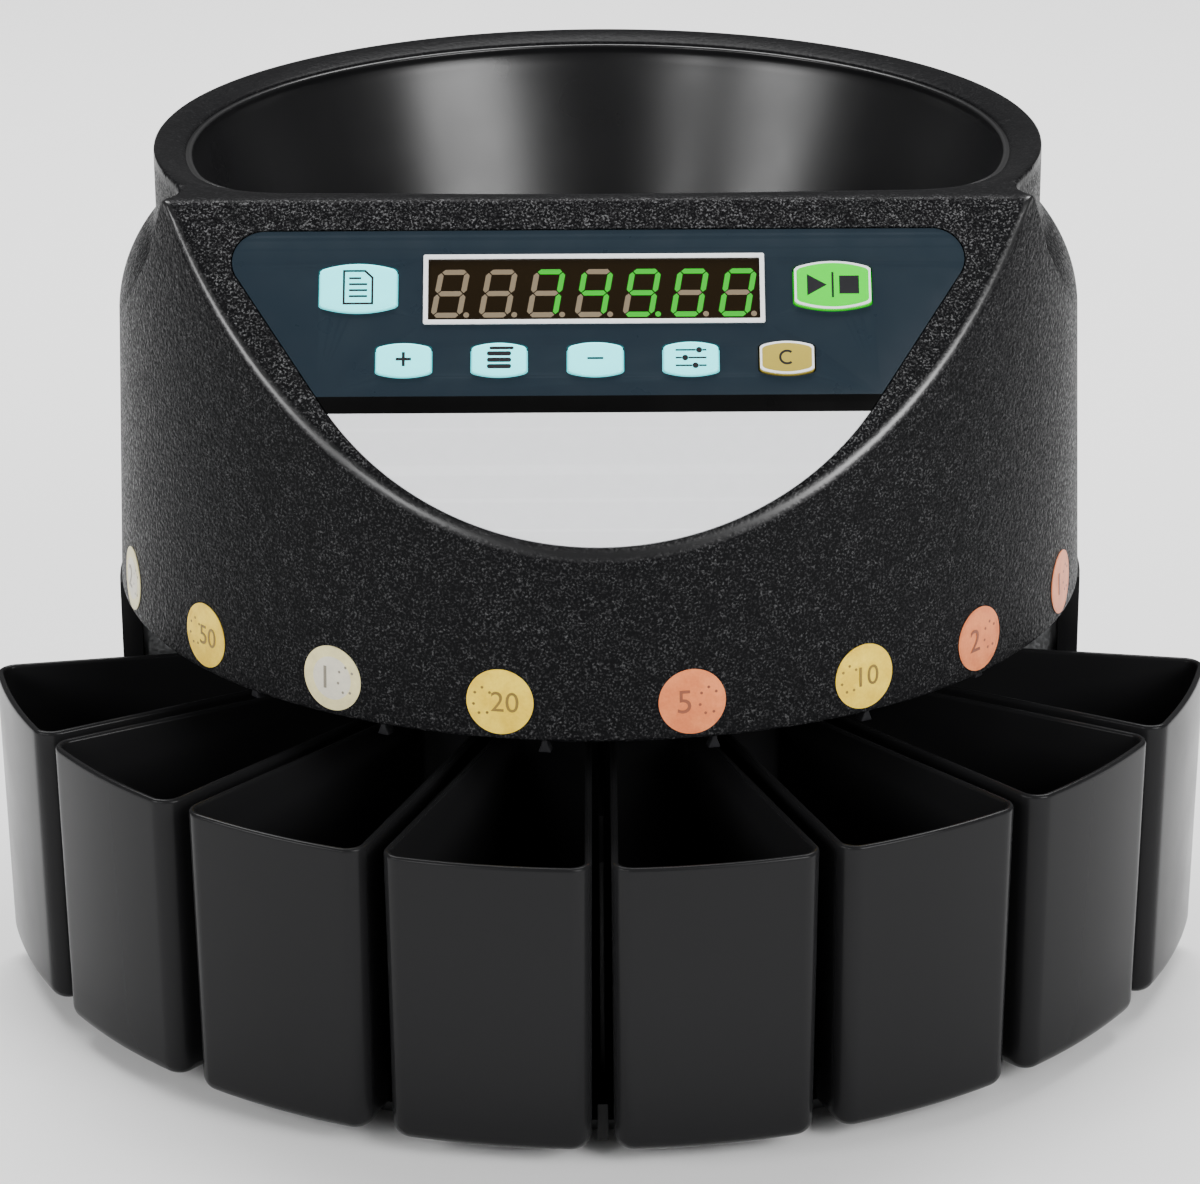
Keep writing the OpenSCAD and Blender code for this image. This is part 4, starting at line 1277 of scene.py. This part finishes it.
# The other nodes keep their CAD shape and take a finish
for node, obj in frame["nodes"].items():
    if not obj.hide_render:
        obj.data.materials.clear()
        obj.data.materials.append(MATERIALS[SLOT_OF[node]])
        smooth_faces(obj.data, SHARP_EDGE)


# ---- stage, light, camera ----


def plain_surface(name, color, rough):
    s = Surface(name, color, rough, specular=0.2)
    s.drive("Roughness", s.remap(s.noise(60, 2), 0.3, 0.7, rough - 0.03, rough + 0.03))
    return s.material


def build_stage():
    """A pale floor under and around the machine."""
    half = 4.0
    mesh = bpy.data.meshes.new("studio_floor")
    corners = [(-half, -half, 0), (half, -half, 0), (half, half, 0), (-half, half, 0)]
    mesh.from_pydata(corners, [], [(0, 1, 2, 3)])
    mesh.materials.append(plain_surface("studio_white", (0.86, 0.86, 0.86), 0.7))
    floor = linked_object("studio_floor", mesh)


def area_light(name, place, target, size, power):
    light = bpy.data.lights.new(name, "AREA")
    light.shape = "RECTANGLE"
    light.size, light.size_y = size
    light.energy = power
    obj = linked_object(name, light)
    obj.location = place
    obj.rotation_euler = (Vector(target) - Vector(place)).to_track_quat("-Z", "Y").to_euler()


def build_light():
    world = bpy.data.worlds.new("studio")
    world.use_nodes = True
    background = world.node_tree.nodes["Background"]
    background.inputs["Color"].default_value = (1, 1, 1, 1)
    background.inputs["Strength"].default_value = 0.2
    bpy.context.scene.world = world
    target = (0, 0, 0.15)
    area_light("overhead", (0, 0.9, 1.9), (0, 0.5, 0), (2.6, 0.9), 108)
    for name, azimuth, distance, height, size, power in (
        ("right_box", 45, 1.3, 0.62, (0.6, 0.45), 15),
        ("left_box", -30, 1.4, 0.62, (0.22, 0.5), 5),
        ("left_edge", -60, 1.4, 0.62, (0.6, 0.45), 11),
        ("front_fill", 34, 2.0, 1.5, (0.8, 0.8), 16),
    ):
        turn = math.radians(azimuth)
        place = (distance * math.sin(turn), -distance * math.cos(turn), height)
        area_light(name, place, target, size, power)


CAMERA_Y = -1229.4 + AXIS_Y
CAMERA_Z = 571.3
CAMERA_DOWN = math.radians(20.94)
CAMERA_ROLL = -0.0055


def build_camera():
    """In front of the machine, looking down at the panel and into the cups."""
    camera = bpy.data.cameras.new("camera")
    camera.sensor_fit = "HORIZONTAL"
    camera.sensor_width = 36.0
    camera.lens = 130.37
    camera.dof.use_dof = False
    camera.clip_start = 0.05
    camera.clip_end = 50
    obj = linked_object("camera", camera)
    place = Matrix.Translation((0, CAMERA_Y * MM, CAMERA_Z * MM))
    tilt = Matrix.Rotation(math.pi / 2 - CAMERA_DOWN, 4, "X")
    obj.matrix_world = place @ tilt @ Matrix.Rotation(CAMERA_ROLL, 4, "Z")
    bpy.context.scene.camera = obj


build_stage()
build_light()
build_camera()
